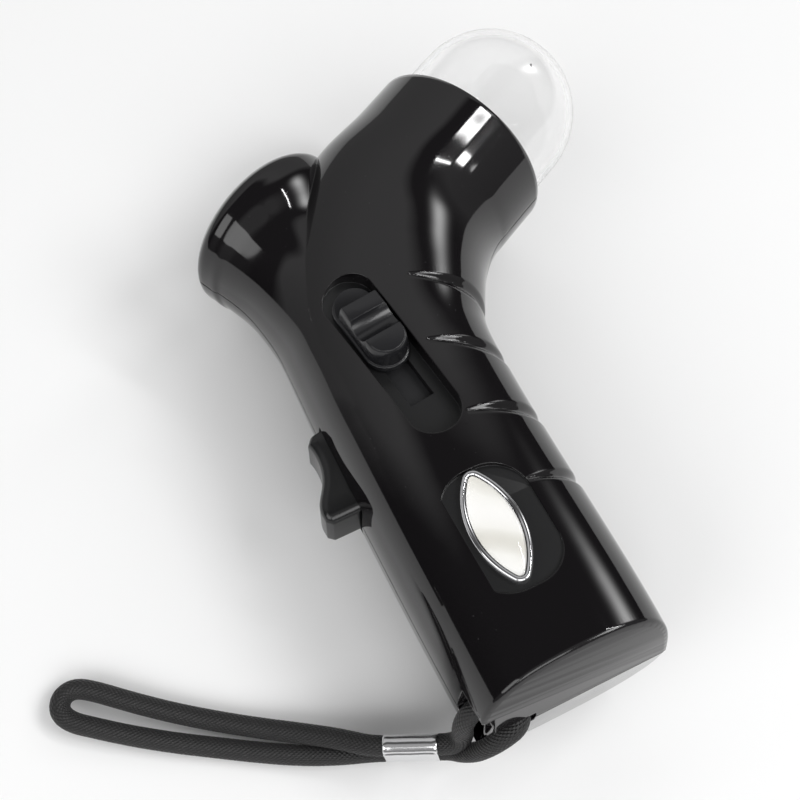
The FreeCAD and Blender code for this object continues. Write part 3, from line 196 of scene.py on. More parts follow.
def position(material, per_mm=1.0):
    """Object coordinates scaled to millimetres times a factor."""
    place = node(material, "ShaderNodeTexCoord").outputs["Object"]
    return node(material, "ShaderNodeMapping", {"Vector": place, "Scale": (1000 * per_mm,) * 3}).outputs[0]


def gloss_abs():
    """Injection-moulded gloss ABS: near black, a polished skin with faint flow waves and dust."""
    material, shader = new_material("abs_gloss_moulded", Base_Color=linear("#0E0C0E"), IOR=1.54)
    spot = position(material)
    waves = node(material, "ShaderNodeTexNoise", {"Vector": spot, "Scale": 0.05, "Detail": 2.0})
    rough = node(material, "ShaderNodeMapRange",
                 {"Value": waves.outputs["Fac"], "To Min": 0.03, "To Max": 0.09})
    specks = node(material, "ShaderNodeTexVoronoi", {"Vector": spot, "Scale": 0.55}, feature="F1")
    keep = node(material, "ShaderNodeTexNoise", {"Vector": spot, "Scale": 0.09, "Detail": 3.0})
    dot = node(material, "ShaderNodeMapRange",
               {"Value": specks.outputs["Distance"], "From Min": 0.035, "From Max": 0.075,
                "To Min": 1.0, "To Max": 0.0})
    patch = node(material, "ShaderNodeMapRange",
                 {"Value": keep.outputs["Fac"], "From Min": 0.52, "From Max": 0.66})
    dust = node(material, "ShaderNodeMath", {0: dot.outputs[0], 1: patch.outputs[0]}, operation="MULTIPLY")
    tint = node(material, "ShaderNodeMix", {0: dust.outputs[0]}, data_type="RGBA")
    tint.inputs[6].default_value = linear("#0E0C0E")
    tint.inputs[7].default_value = linear("#4A4A4C")
    add = node(material, "ShaderNodeMath", {0: rough.outputs[0], 1: dust.outputs[0]}, operation="ADD")
    edge = node(material, "ShaderNodeBevel", {"Radius": 0.45 * MM}, samples=6)
    skin = node(material, "ShaderNodeBump",
                {"Height": waves.outputs["Fac"], "Strength": 0.12, "Distance": 0.4 * MM,
                 "Normal": edge.outputs[0]})
    tree = material.node_tree
    tree.links.new(tint.outputs[2], shader.inputs["Base Color"])
    tree.links.new(add.outputs[0], shader.inputs["Roughness"])
    tree.links.new(skin.outputs[0], shader.inputs["Normal"])
    return material


def satin_plastic(name, code, rough, grain=0.08):
    """Spark-eroded satin plastic: an even fine grain that spreads the highlights."""
    material, shader = new_material(name, Base_Color=linear(code), IOR=1.5, Roughness=rough)
    grains = node(material, "ShaderNodeTexNoise", {"Vector": position(material), "Scale": 3.0, "Detail": 2.0})
    edge = node(material, "ShaderNodeBevel", {"Radius": 0.25 * MM}, samples=6)
    skin = node(material, "ShaderNodeBump",
                {"Height": grains.outputs["Fac"], "Strength": grain, "Distance": 0.1 * MM,
                 "Normal": edge.outputs[0]})
    material.node_tree.links.new(skin.outputs[0], shader.inputs["Normal"])
    return material


def clear_plastic(name, code, rough=0.02):
    """Clear polystyrene: water-clear wall with a slightly wavy moulded skin that lets the lamps through."""
    material, shader = new_material(
        name, Base_Color=linear(code), IOR=1.45, Roughness=rough, Transmission_Weight=1.0)
    waves = node(material, "ShaderNodeTexNoise", {"Vector": position(material), "Scale": 0.06, "Detail": 1.0})
    skin = node(material, "ShaderNodeBump",
                {"Height": waves.outputs["Fac"], "Strength": 0.05, "Distance": 0.3 * MM})
    path = node(material, "ShaderNodeLightPath")
    lets_by = node(material, "ShaderNodeMath",
                   {0: path.outputs["Is Shadow Ray"], 1: path.outputs["Is Diffuse Ray"]}, operation="MAXIMUM")
    open_way = node(material, "ShaderNodeBsdfTransparent", {"Color": linear(code)})
    both = node(material, "ShaderNodeMixShader", {0: lets_by.outputs[0], 1: shader.outputs[0],
                                                  2: open_way.outputs[0]})
    tree = material.node_tree
    tree.links.new(skin.outputs[0], shader.inputs["Normal"])
    tree.links.new(both.outputs[0], tree.nodes["Material Output"].inputs["Surface"])
    return material


def bright_metal(name, code, rough):
    """Nickel-plated sheet metal: bright with faint rolling marks."""
    material, shader = new_material(name, Base_Color=linear(code), Metallic=1.0, Roughness=rough)
    spot = node(material, "ShaderNodeMapping", {"Vector": position(material), "Scale": (0.3, 0.3, 6.0)})
    marks = node(material, "ShaderNodeTexNoise", {"Vector": spot.outputs[0], "Scale": 1.0, "Detail": 2.0})
    skin = node(material, "ShaderNodeBump",
                {"Height": marks.outputs["Fac"], "Strength": 0.1, "Distance": 0.05 * MM})
    material.node_tree.links.new(skin.outputs[0], shader.inputs["Normal"])
    return material


def plate_finish():
    """Gloss-printed cream plate with a soft grey wave near its upper end."""
    material, shader = new_material("vinyl_gloss_printed", IOR=1.5, Roughness=0.22)
    spot = position(material)
    wave = node(material, "ShaderNodeTexWave",
                {"Vector": spot, "Scale": 0.035, "Distortion": 3.0, "Detail": 1.0}, bands_direction="DIAGONAL")
    tint = ramp(material, wave.outputs["Fac"], [(0.0, "#E2E0D8"), (0.45, "#F6F5F0"), (1.0, "#FCFBF8")])
    material.node_tree.links.new(tint, shader.inputs["Base Color"])
    return material


def braid_finish():
    """Black braided nylon: staggered plaits, each with a small painted highlight (lighter base colour) on its
    crest.
    """
    material, shader = new_material(
        "nylon_black_braided", IOR=1.53, Roughness=0.5, Sheen_Weight=0.1, Sheen_Roughness=0.4)
    lane = node(material, "ShaderNodeUVMap", uv_map="braid").outputs[0]
    axes = node(material, "ShaderNodeSeparateXYZ", {0: lane})
    around = node(material, "ShaderNodeMath", {0: axes.outputs[0], 1: 2 * math.pi * PLAITS}, operation="MULTIPLY")
    along = node(material, "ShaderNodeMath", {0: axes.outputs[1], 1: math.pi}, operation="MULTIPLY")
    waves = []
    for operation in ("ADD", "SUBTRACT"):
        slant = node(material, "ShaderNodeMath", {0: around.outputs[0], 1: along.outputs[0]},
                     operation=operation)
        waves.append(node(material, "ShaderNodeMath", {0: slant.outputs[0]}, operation="SINE").outputs[0])
    crest = node(material, "ShaderNodeMath", {0: waves[0], 1: waves[1]}, operation="MULTIPLY")
    level = node(material, "ShaderNodeMath", {0: crest.outputs[0]}, operation="ABSOLUTE")
    fibres = node(material, "ShaderNodeTexNoise", {"Vector": position(material), "Scale": 2.5, "Detail": 3.0})
    uneven = node(material, "ShaderNodeMath", {0: fibres.outputs["Fac"], 1: 1.5}, operation="MULTIPLY")
    painted_crest_highlight = node(material, "ShaderNodeMath", {0: level.outputs[0], 1: uneven.outputs[0]}, operation="MULTIPLY")
    # Painted highlight: the base colour goes from near black to grey on the plait crests, where light would catch
    # them
    tint = ramp(material, painted_crest_highlight.outputs[0], [(0.3, "#080708"), (0.72, "#111011"), (0.95, "#403E3E")])
    skin = node(material, "ShaderNodeBump",
                {"Height": level.outputs[0], "Strength": 0.6, "Distance": 0.25 * MM})
    tree = material.node_tree
    tree.links.new(tint, shader.inputs["Base Color"])
    tree.links.new(skin.outputs[0], shader.inputs["Normal"])
    return material


def make_materials():
    """Every finish on the launcher."""
    return {
        "shell": gloss_abs(),
        "floor_pan": satin_plastic("abs_satin_floor", "#161617", 0.34),
        "grey": satin_plastic("pp_satin_moulded", "#1C1C1E", 0.24),
        "trigger": satin_plastic("abs_satin_trigger", "#131314", 0.24),
        "inner": satin_plastic("pp_matt_inner", "#1E1E20", 0.5),
        "clear": clear_plastic("ps_clear_moulded", "#FFFFFF"),
        "lens": clear_plastic("pu_clear_domed", "#FFFFFF", 0.01),
        "rim": bright_metal("steel_nickel_rim", "#DADADC", 0.1),
        "ferrule": bright_metal("steel_nickel_crimped", "#DEDEDF", 0.14),
        "steel": bright_metal("steel_drawn_wire", "#9A9A9C", 0.3),
        "plate": plate_finish(),
        "braid": braid_finish(),
        "pad": satin_plastic("rubber_moulded", "#1A1A1A", 0.6, 0.2),
    }


MATERIALS = {}


# Mesh helpers


def finish_object(bm, name, *finishes):
    """Object at the origin from a bmesh in millimetres."""
    bmesh.ops.scale(bm, vec=(MM, MM, MM), verts=bm.verts)
    mesh = bpy.data.meshes.new(name)
    bm.to_mesh(mesh)
    bm.free()
    piece = bpy.data.objects.new(name, mesh)
    bpy.context.scene.collection.objects.link(piece)
    for finish in finishes:
        mesh.materials.append(finish)
    return piece


def smooth(piece, angle=40):
    """Smooth shading, with creases above an angle kept sharp."""
    mesh = piece.data
    mesh.polygons.foreach_set("use_smooth", [True] * len(mesh.polygons))
    mesh.set_sharp_from_angle(angle=math.radians(angle))
    mesh.update()


def spline(knots, values, at):
    """Smooth value between knots, with the slope of its neighbours at each."""
    count = len(knots)
    if at <= knots[0]:
        return values[0]
    if at >= knots[-1]:
        return values[-1]
    index = max(i for i in range(count - 1) if knots[i] <= at)

    def slope(i):
        low = max(i - 1, 0)
        high = min(i + 1, count - 1)
        if low == i or high == i:
            return (values[high] - values[low]) / (knots[high] - knots[low])
        before = (values[i] - values[low]) / (knots[i] - knots[low])
        after = (values[high] - values[i]) / (knots[high] - knots[i])
        share = (knots[i] - knots[low]) / (knots[high] - knots[low])
        return before * (1 - share) + after * share

    span = knots[index + 1] - knots[index]
    part = (at - knots[index]) / span
    a, b = values[index], values[index + 1]
    m, n = slope(index) * span, slope(index + 1) * span
    return (a * (1 + 2 * part) * (1 - part) ** 2 + m * part * (1 - part) ** 2
            + b * part ** 2 * (3 - 2 * part) - n * part ** 2 * (1 - part))


def ring(bm, front, back, half, fullness, segments):
    """Rounded closed rib standing on the line from front to back."""
    middle = (front + back) / 2
    reach = (back - front) / 2
    verts = bmesh.ops.create_circle(bm, segments=segments, radius=1.0)["verts"]
    for vert in verts:
        angle = math.atan2(vert.co.y, vert.co.x)
        across = math.copysign(abs(math.cos(angle)) ** (2 / fullness), math.cos(angle))
        up = math.copysign(abs(math.sin(angle)) ** (2 / fullness), math.sin(angle))
        vert.co = middle + reach * across + UP * (half * up)
    return verts


def join_rings(bm, loops):
    """Bridge each ring of vertices to the next."""
    edges = []
    for verts in loops:
        inside = set(verts)
        edges.append({e for v in verts for e in v.link_edges if e.other_vert(v) in inside})
    for low, high in zip(edges, edges[1:]):
        bmesh.ops.bridge_loops(bm, edges=list(low | high))


def loft(bm, ribs, inset, segments, pitch):
    """Closed form through ribs, with rings every pitch millimetres."""
    fronts, backs, halves, fulls = [], [], [], []
    for front, back, half, fullness in ribs:
        inward = (back - front).normalized() * inset
        fronts.append(front + inward)
        backs.append(back - inward)
        halves.append(half - inset)
        fulls.append(fullness)
    knots = [0.0]
    for i in range(1, len(ribs)):
        step = ((fronts[i] + backs[i]) - (fronts[i - 1] + backs[i - 1])).length / 2
        knots.append(knots[-1] + step)
    count = max(2, round(knots[-1] / pitch))
    loops = []
    for i in range(count + 1):
        at = knots[-1] * i / count
        verts = ring(bm, spline(knots, fronts, at), spline(knots, backs, at),
                     spline(knots, halves, at), spline(knots, fulls, at), segments)
        loops.append(verts)
    join_rings(bm, loops)
    for verts in (loops[0], loops[-1]):
        bmesh.ops.contextual_create(bm, geom=verts)
    bmesh.ops.recalc_face_normals(bm, faces=bm.faces)
    return loops


def refine(bm, near, times):
    """Halve the edges whose middle the test calls near, a number of times."""
    for _ in range(times):
        edges = [e for e in bm.edges if near((e.verts[0].co + e.verts[1].co) / 2)]
        bmesh.ops.subdivide_edges(bm, edges=edges, cuts=1, use_grid_fill=True)


def turned_rib(centre, normal, radius, fullness=2.0):
    """Rib of a round mouth."""
    side = right_of(normal)
    return (centre - side * radius, centre + side * radius, radius, fullness)


def main_ribs():
    """Handle that bends over into the treat barrel."""
    half = HANDLE_THICKNESS / 2
    wide = HANDLE_WIDTH / 2
    out = heading(HOPPER_ANGLE)
    rim = plan(*RIM)
    top = BARREL_RADIUS
    ribs = []
    for step in range(9):
        y = -94.0 + 12.0 * step
        part = step / 8
        front = HANDLE_MIDDLE - wide + 0.2 + 2.6 * part ** 2
        back = HANDLE_MIDDLE + wide - 0.4 - 0.9 * part + 1.5 * part ** 6 - 2.2 * (1 - part) ** 7
        ribs.append((plan(front, y), plan(back, y), half - 0.6 + part, 2.6 - 0.15 * part))
    ribs += [
        (plan(-20.0, 15), plan(28.0, 7.2), half + 0.5, 2.42),
        (plan(-17.5, 29), plan(31.6, 14.2), half + 0.6, 2.35),
        (plan(-12.6, 43.5), plan(35.6, 21.0), half + 0.7, 2.25),
        (plan(-4.0, 58.5), plan(40.2, 26.6), top - 0.3, 2.12),
        (plan(9.5, 71), plan(44.6, 30.2), top - 0.1, 2.04),
        turned_rib(rim - out * 13, out, top - 0.05),
        turned_rib(rim - out * 6.5, out, top - 0.05),
        turned_rib(rim, out, top),
    ]
    return ribs


def front_ribs():
    """Front strip that widens into the muzzle bell."""
    half = HANDLE_THICKNESS / 2 - STEP_HEIGHT
    wide = HANDLE_WIDTH / 2
    ahead = heading(-MUZZLE_ANGLE)
    mouth = plan(*MOUTH)
    ribs = []
    for step in range(9):
        y = -94.0 + 12.0 * step
        part = step / 8
        front = HANDLE_MIDDLE - wide + 1.5 * part ** 2 + (1 - part) ** 6
        thick = half - 0.6 + 0.8 * part - 0.6 * part ** 3
        ribs.append((plan(front, y), plan(22 - part, y), thick, 2.6 - 0.2 * part))
    ribs += [
        (plan(-21.9, 14), plan(20, 12), half - 1.3, 2.32),
        (plan(-21.6, 26), plan(17, 22), 21.0, 2.2),
        (plan(-23.4, 38.5), plan(13.5, 33), 19.6, 2.1),
        (plan(-27.0, 48.0), plan(10.8, 48.6), 20.4, 2.0),
        turned_rib(mouth - ahead * 5.5, ahead, BELL_RADIUS + 0.2),
        turned_rib(mouth - ahead * 1.5, ahead, BELL_RADIUS),
        turned_rib(mouth, ahead, BELL_RADIUS - 1.4),
    ]
    return ribs


# Plan points of the edge where the main form stands proud of the front strip
STEP_EDGE = [
    (-24.2, -104), (-22.5, -82), (-20.3, -52), (-18.6, -26), (-16.9, -3),
    (-14.8, 16), (-12.1, 27.8), (-7.8, 38.7), (-4.1, 46.2), (1.0, 54.6),
    (9.0, 67.0), (15.0, 76.0), (22.0, 86.0),
]

# Finger grooves: plan points where each crease starts and where it leaves the handle
GROOVES = [
    ((11.2, 17.2), (40.0, 4.0)),
    ((6.9, -0.9), (36.0, -12.0)),
    ((6.4, -21.5), (36.0, -28.0)),
    ((10.4, -42.4), (36.0, -44.2)),
]


def groove_place(spot, groove):
    """Distance along a groove and to its side, for a point counted from the plan zero."""
    (x1, y1), (x2, y2) = groove
    run = Vector((x2 - x1, y2 - y1))
    length = run.length
    run.normalize()
    offset = Vector((spot.x - x1, spot.y - y1))
    return offset.dot(run), run.x * offset.y - run.y * offset.x, length


def near_groove(place):
    """True beside a finger groove on the handle's back."""
    spot = place - PLAN_ZERO
    for groove in GROOVES:
        along, away, length = groove_place(spot, groove)
        if -1.0 < along < length and abs(away) < 3.4:
            return True
    return False


def press_grooves(bm, depth, width):
    """Sink creases into the back of the handle: thin at their start, softer down the side."""
    refine(bm, near_groove, 2)
    bm.normal_update()
    moves = []
    for vert in bm.verts:
        spot = vert.co - PLAN_ZERO
        sink = 0.0
        for groove in GROOVES:
            along, away, length = groove_place(spot, groove)
            if not 0 < along < length:
                continue
            spread = width * (0.24 + 0.76 * min(1.0, along / 14))
            part = abs(away) / spread
            if part < 1:
                start = min(1.0, 0.2 + along / 11)
                sink = max(sink, depth * start * (0.5 + 0.5 * math.cos(math.pi * part)))
        if sink:
            moves.append((vert, vert.normal * sink))
    for vert, move in moves:
        vert.co -= move


def butt_distance(place):
    """Distance ahead of the leaning butt face."""
    spot = place - PLAN_ZERO
    return spot.y - BUTT_Y - abs(spot.z) * math.tan(BUTT_LEAN)


def round_butt(bm, radius):
    """Roll the form inward to its butt face."""
    refine(bm, lambda place: -1.0 < butt_distance(place) < radius + 1.2, 2)
    bm.normal_update()
    moves = []
    for vert in bm.verts:
        away = butt_distance(vert.co)
        if away < radius and abs(vert.normal.y) < 0.7:
            deep = radius - math.sqrt(radius ** 2 - (radius - max(0.0, away)) ** 2)
            moves.append((vert, vert.normal * (deep + min(1.5, max(0.0, -away)) * 1.5)))
    for vert, move in moves:
        vert.co -= move


def upright_prism(bm, corners, low, high):
    """Closed upright block over plan points."""
    verts = [bm.verts.new(plan(x, y, low)) for x, y in corners]
    face = bm.faces.new(verts)
    made = bmesh.ops.extrude_face_region(bm, geom=[face])
    top = [g for g in made["geom"] if isinstance(g, bmesh.types.BMVert)]
    bmesh.ops.translate(bm, verts=top, vec=(0, 0, high - low))
    bmesh.ops.recalc_face_normals(bm, faces=bm.faces)


def proud_outline(shift):
    """Plan outline of the area of the main form, its step edge smooth."""
    knots = [y for _, y in STEP_EDGE]
    places = [x + shift for x, _ in STEP_EDGE]
    count = 120
    low, high = knots[0], knots[-1]
    edge = []
    for i in range(count + 1):
        y = low + (high - low) * i / count
        edge.append((spline(knots, places, y), y))
    return edge + [(130, high + 30), (130, low)]


def tool_object(bm, name):
    """Hidden helper object, in millimetres."""
    mesh = bpy.data.meshes.new(name)
    bmesh.ops.triangulate(bm, faces=[f for f in bm.faces if len(f.verts) > 4])
    bm.to_mesh(mesh)
    bm.free()
    made = bpy.data.objects.new(name, mesh)
    bpy.context.scene.collection.objects.link(made)
    return made


def boolean(base, tools, operation):
    """Replace the base's mesh by its boolean with each tool, and delete the tools."""
    for tool in tools:
        change = base.modifiers.new("bool", "BOOLEAN")
        change.operation = operation
        change.solver = "MANIFOLD"
        change.object = tool
    view = bpy.context.evaluated_depsgraph_get()
    view.update()
    mesh = bpy.data.meshes.new_from_object(base.evaluated_get(view))
    base.modifiers.clear()
    base.data = mesh
    for tool in tools:
        bpy.data.objects.remove(tool)
    return base


def form_object(name, ribs, inset=0.0, segments=128, pitch=1.2, grooves=None, roll=0.0):
    """Object of one lofted form."""
    bm = bmesh.new()
    loft(bm, ribs, inset, segments, pitch)
    if roll:
        round_butt(bm, roll)
    if grooves:
        press_grooves(bm, *grooves)
    return tool_object(bm, name)


def block_object(name, corners, low, high):
    """Object of an upright block over plan points."""
    bm = bmesh.new()
    upright_prism(bm, corners, low, high)
    return tool_object(bm, name)


def box_object(name, low, high):
    """Object of a box between two plan points."""
    corners = [(low[0], low[1]), (high[0], low[1]), (high[0], high[1]), (low[0], high[1])]
    return block_object(name, corners, low[2], high[2])


def obround_points(station, side, length, width, steps=24):
    """Plan outline with round ends, its long side along the launch axis."""
    ahead = heading(-LAUNCH_ANGLE)
    across = right_of(ahead)
    centre = launch_point(station, side) - PLAN_ZERO
    radius = width / 2
    points = []
    for sign, turn in ((1, 0.0), (-1, math.pi)):
        middle = centre + ahead * (sign * (length / 2 - radius))
        for step in range(steps + 1):
            angle = turn + math.pi * step / steps
            point = middle + across * (radius * math.cos(angle)) + ahead * (radius * math.sin(angle))
            points.append((point.x, point.y))
    return points


def rounded_rectangle(x, y, length, width, corner, steps=12):
    """Plan outline of a rectangle with round corners, long side along the handle."""
    points = []
    for index, (sx, sy) in enumerate(((1, 1), (-1, 1), (-1, -1), (1, -1))):
        cx = x + sx * (width / 2 - corner)
        cy = y + sy * (length / 2 - corner)
        for step in range(steps + 1):
            angle = math.pi / 2 * (index + step / steps)
            points.append((cx + corner * math.cos(angle), cy + corner * math.sin(angle)))
    return points


def rod_object(name, base, direction, radius, length, segments=96):
    """Closed cylinder from a base point along a direction."""
    bm = bmesh.new()
    bmesh.ops.create_cone(bm, cap_ends=True, segments=segments, radius1=radius, radius2=radius, depth=length)
    turn = UP.rotation_difference(direction).to_matrix().to_4x4()
    bmesh.ops.transform(bm, verts=bm.verts, matrix=Matrix.Translation(base + direction * (length / 2)) @ turn)
    return tool_object(bm, name)


def copy_normals(piece, guides, near=0.03):
    """Take the normals of the smooth forms wherever the piece follows them."""
    trees = []
    for mesh in guides:
        corners = [list(p.vertices) for p in mesh.polygons]
        places = [v.co.copy() for v in mesh.vertices]
        trees.append((BVHTree.FromPolygons(places, corners), corners, places,
                      [v.normal.copy() for v in mesh.vertices]))
    mesh = piece.data
    normals = [Vector(n.vector) for n in mesh.corner_normals]
    places = [v.co for v in mesh.vertices]
    for face in mesh.polygons:
        hit = None
        for tree in trees:
            spot, facing, index, away = tree[0].find_nearest(face.center)
            if away is not None and away < near and facing.dot(face.normal) > 0.9:
                hit = tree
                break
        if not hit:
            continue
        tree, corners, points, vertex_normals = hit
        for loop in face.loop_indices:
            place = places[mesh.loops[loop].vertex_index]
            spot, facing, index, away = tree.find_nearest(place)
            ids = corners[index]
            weights = poly_3d_calc([points[i] for i in ids], spot)
            total = sum((vertex_normals[i] * w for i, w in zip(ids, weights)), Vector())
            if total.length > 0:
                normals[loop] = total.normalized()
    mesh.normals_split_custom_set(normals)
    mesh.update()


SCREWS = [(18.6, -22.0), (19.6, 1.0), (32.2, 27.6), (-14.0, -60.0), (16.5, -72.0)]
STRAP_POST = (-18.6, -80.8)
STRAP_WINDOWS = [
    ((-32.2, -90, -14.0), (-15.4, -74.8, 0.01)),
    ((-32.2, -90, 0), (-19.5, -74.8, 9.5)),
    ((-20.2, -90, -3.6), (-9.2, -80.6, 2.2)),
]


def half_block(side, seam):
    """Block of one half; its butt face leans inward away from the parting plane."""
    reach = 60.0
    lean = reach * math.tan(BUTT_LEAN)
    bm = bmesh.new()
    corners = [(-120, BUTT_Y, side * seam / 2), (-120, BUTT_Y + lean, side * reach),
               (-120, 160, side * reach), (-120, 160, side * seam / 2)]
    face = bm.faces.new([bm.verts.new(plan(*c)) for c in corners])
    made = bmesh.ops.extrude_face_region(bm, geom=[face])
    moved = [g for g in made["geom"] if isinstance(g, bmesh.types.BMVert)]
    bmesh.ops.translate(bm, verts=moved, vec=(280, 0, 0))
    bmesh.ops.recalc_face_normals(bm, faces=bm.faces)
    return tool_object(bm, "half_block")


def housing_half(side, settings):
    """One half of the housing, with its cuts."""
    seam = settings.seam / MM
    wall = settings.wall / MM
    out = heading(HOPPER_ANGLE)
    ahead = heading(-MUZZLE_ANGLE)
    grooves = (settings.groove_depth / MM, settings.groove_width / MM)
    name = "housing_upper" if side > 0 else "housing_lower"

    roll = settings.butt_edge / MM
    shell = form_object(name, main_ribs(), segments=160, pitch=1.0, grooves=grooves, roll=roll)
    guide_main = shell.data.copy()
    boolean(shell, [block_object("proud", proud_outline(0), -60, 60)], "INTERSECT")
    front = form_object("front", front_ribs(), segments=144, pitch=1.2, roll=roll)
    guide_front = front.data.copy()
    boolean(shell, [front], "UNION")

    inner_list = main_ribs()
    inner_list.append(turned_rib(plan(*RIM) + out * 2, out, BARREL_RADIUS))
    hollow = form_object("hollow", inner_list, wall, 64, 3.0)
    boolean(hollow, [block_object("proud_inner", proud_outline(wall), -60, 60)], "INTERSECT")
    front_list = front_ribs()
    front_list[-1] = turned_rib(plan(*MOUTH), ahead, BELL_RADIUS)
    front_list.append(turned_rib(plan(*MOUTH) + ahead * 2, ahead, BELL_RADIUS))
    boolean(hollow, [form_object("front_inner", front_list, wall, 64, 3.0)], "UNION")
    boolean(hollow, [box_object("butt_inner", (-90, BUTT_Y + wall + 1.5, -60), (120, 160, 60))], "INTERSECT")

    bore = rod_object("bore", plan(*RIM) - out * 12.5, out, BARREL_RADIUS - wall + 0.1, 20)
    tools = [hollow, bore, box_object("trigger_way", (-38, -26.0, -6.7), (-16, -1.2, 6.7))]
    tools += [box_object("strap_way", low, high) for low, high in STRAP_WINDOWS]
    if side > 0:
        tools.append(block_object("pocket", obround_points(64.2, -0.2, 48.8, 13.0), POCKET_FLOOR, 60))
        tools.append(block_object("recess", rounded_rectangle(-0.5, -50.0, 30.6, 21.4, 9.2), 23.7, 60))
        slot_length = 7.6 + 18.0 + 0.4
        ahead = heading(-LAUNCH_ANGLE)
        across = right_of(ahead)
        centre = launch_point(55.4 + 9.0) - PLAN_ZERO
        corners = []
        for a, b in ((-1, -1), (1, -1), (1, 1), (-1, 1)):
            point = centre + across * (a * 3.2) + ahead * (b * slot_length / 2)
            corners.append((point.x, point.y))
        tools.append(block_object("slot", corners, 9, 60))
    if side > 0:
        pads = [
            block_object("pan", obround_points(64.2, -0.2, 53.2, 17.4), POCKET_FLOOR - wall, 30),
            block_object("plate", rounded_rectangle(-0.5, -50.0, 35.0, 25.8, 11.4), 23.7 - wall, 30),
        ]
    else:
        pads = []
        for x, y in SCREWS:
            pads.append(rod_object("boss", plan(x, y, -30), UP, 4.0, 30, 48))
            tools.append(rod_object("head_hole", plan(x, y, -40), UP, 2.7, 32, 48))
            tools.append(rod_object("shank_hole", plan(x, y, -9), UP, 1.45, 12, 32))
    for pad in pads:
        outer = tool_object(bmesh_of(shell), "outer_copy")
        boolean(pad, [outer], "INTERSECT")
    boolean(shell, tools[:1], "DIFFERENCE")
    boolean(shell, pads, "UNION")
    boolean(shell, tools[1:], "DIFFERENCE")
    boolean(shell, [rod_object("strap_post", plan(*STRAP_POST, -15.8), UP, 1.3, 31.6, 32)], "UNION")
    boolean(shell, [half_block(side, seam)], "INTERSECT")
    smooth(shell, 35)
    copy_normals(shell, [guide_main, guide_front])
    mark_floors(shell)
    shell.data.transform(Matrix.Scale(MM, 4))
    shell.data.update()
    bpy.data.meshes.remove(guide_main)
    bpy.data.meshes.remove(guide_front)
    return shell


def bmesh_of(piece):
    """Editable copy of a piece's mesh."""
    bm = bmesh.new()
    bm.from_mesh(piece.data)
    return bm


def mark_floors(shell):
    """Give the satin finish to the floors of the slider pocket and badge recess."""
    mesh = shell.data
    mesh.materials.clear()
    mesh.materials.append(MATERIALS["shell"])
    mesh.materials.append(MATERIALS["floor_pan"])
    for face in mesh.polygons:
        height = face.center.z - PLAN_ZERO.z
        level = face.normal.z > 0.99 and (abs(height - POCKET_FLOOR) < 0.01 or abs(height - 23.7) < 0.01)
        face.material_index = 1 if level else 0


def keep_cad(node_name, finish, angle=None):
    """Give a CAD node its finish."""
    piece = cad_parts[node_name]
    piece.data.materials.clear()
    piece.data.materials.append(finish)
    return piece


# Operators, one for each piece or group


class LauncherOperator:
    bl_options = {"REGISTER", "UNDO"}


class TREAT_OT_housing(LauncherOperator, bpy.types.Operator):
    """Two glossy housing halves with pocket, recess, grooves and seam"""
    bl_idname = "treat.housing"
    bl_label = "Housing"

    def execute(self, context):
        settings = context.scene.treat_housing
        for side, node_name in ((1, "upper_shell"), (-1, "lower_shell")):
            shell = housing_half(side, settings)
            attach(shell, "housing")
            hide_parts(node_name)
        return {"FINISHED"}


class TREAT_OT_inside(LauncherOperator, bpy.types.Operator):
    """Finishes of the mechanism inside the housing"""
    bl_idname = "treat.inside"
    bl_label = "Mechanism"

    def execute(self, context):
        for name in ("hopper_funnel", "launch_tube", "muzzle_liner", "lock_ring", "plunger",
                     "spring_seat", "slot_shutter", "sear", "slider_stem"):
            keep_cad(name, MATERIALS["inner"])
        for name in ("main_spring", "trigger_spring", "sear_spring", "trigger_pin", "sear_pin",
                     "shell_screws"):
            keep_cad(name, MATERIALS["steel"])
        keep_cad("plunger_pad", MATERIALS["pad"])
        return {"FINISHED"}


class TREAT_OT_dome(LauncherOperator, bpy.types.Operator):
    """Clear dome over the treat hopper"""
    bl_idname = "treat.dome"
    bl_label = "Dome"

    def execute(self, context):
        keep_cad("treat_dome", MATERIALS["clear"])
        return {"FINISHED"}


def obround_ring(bm, length, width, z, segments=64):
    """Ring with round ends, its long side along local Y."""
    radius = width / 2
    verts = bmesh.ops.create_circle(bm, segments=segments, radius=radius)["verts"]
    for vert in verts:
        vert.co.y += math.copysign(length / 2 - radius, vert.co.y)
        vert.co.z = z
    return verts


def ringed_solid(bm, loops):
    """Closed solid from rings, capped at both ends."""
    join_rings(bm, loops)
    for verts in (loops[0], loops[-1]):
        bmesh.ops.contextual_create(bm, geom=verts)
    bmesh.ops.recalc_face_normals(bm, faces=bm.faces)


def place_on_launch(bm, station, z):
    """Move a piece made round local zero to a station, its Y along the launch axis."""
    turn = Matrix.Rotation(LAUNCH_ANGLE, 4, "Z")
    bmesh.ops.transform(bm, verts=bm.verts, matrix=Matrix.Translation(launch_point(station, 0, z)) @ turn)


def soften(piece, width, segments, angle=30):
    """Round the edges sharper than an angle."""
    change = piece.modifiers.new("edges", "BEVEL")
    change.width = width
    change.segments = segments
    change.limit_method = "ANGLE"
    change.angle_limit = math.radians(angle)
    view = bpy.context.evaluated_depsgraph_get()
    view.update()
    mesh = bpy.data.meshes.new_from_object(piece.evaluated_get(view))
    piece.modifiers.clear()
    piece.data = mesh


KNOB_STATION = 55.4
KNOB_LENGTH = 24.4
KNOB_WIDTH = 11.6
KNOB_BASE = 1.6
KNOB_HEIGHT = 7.4
KNOB_LIFT = 0.4


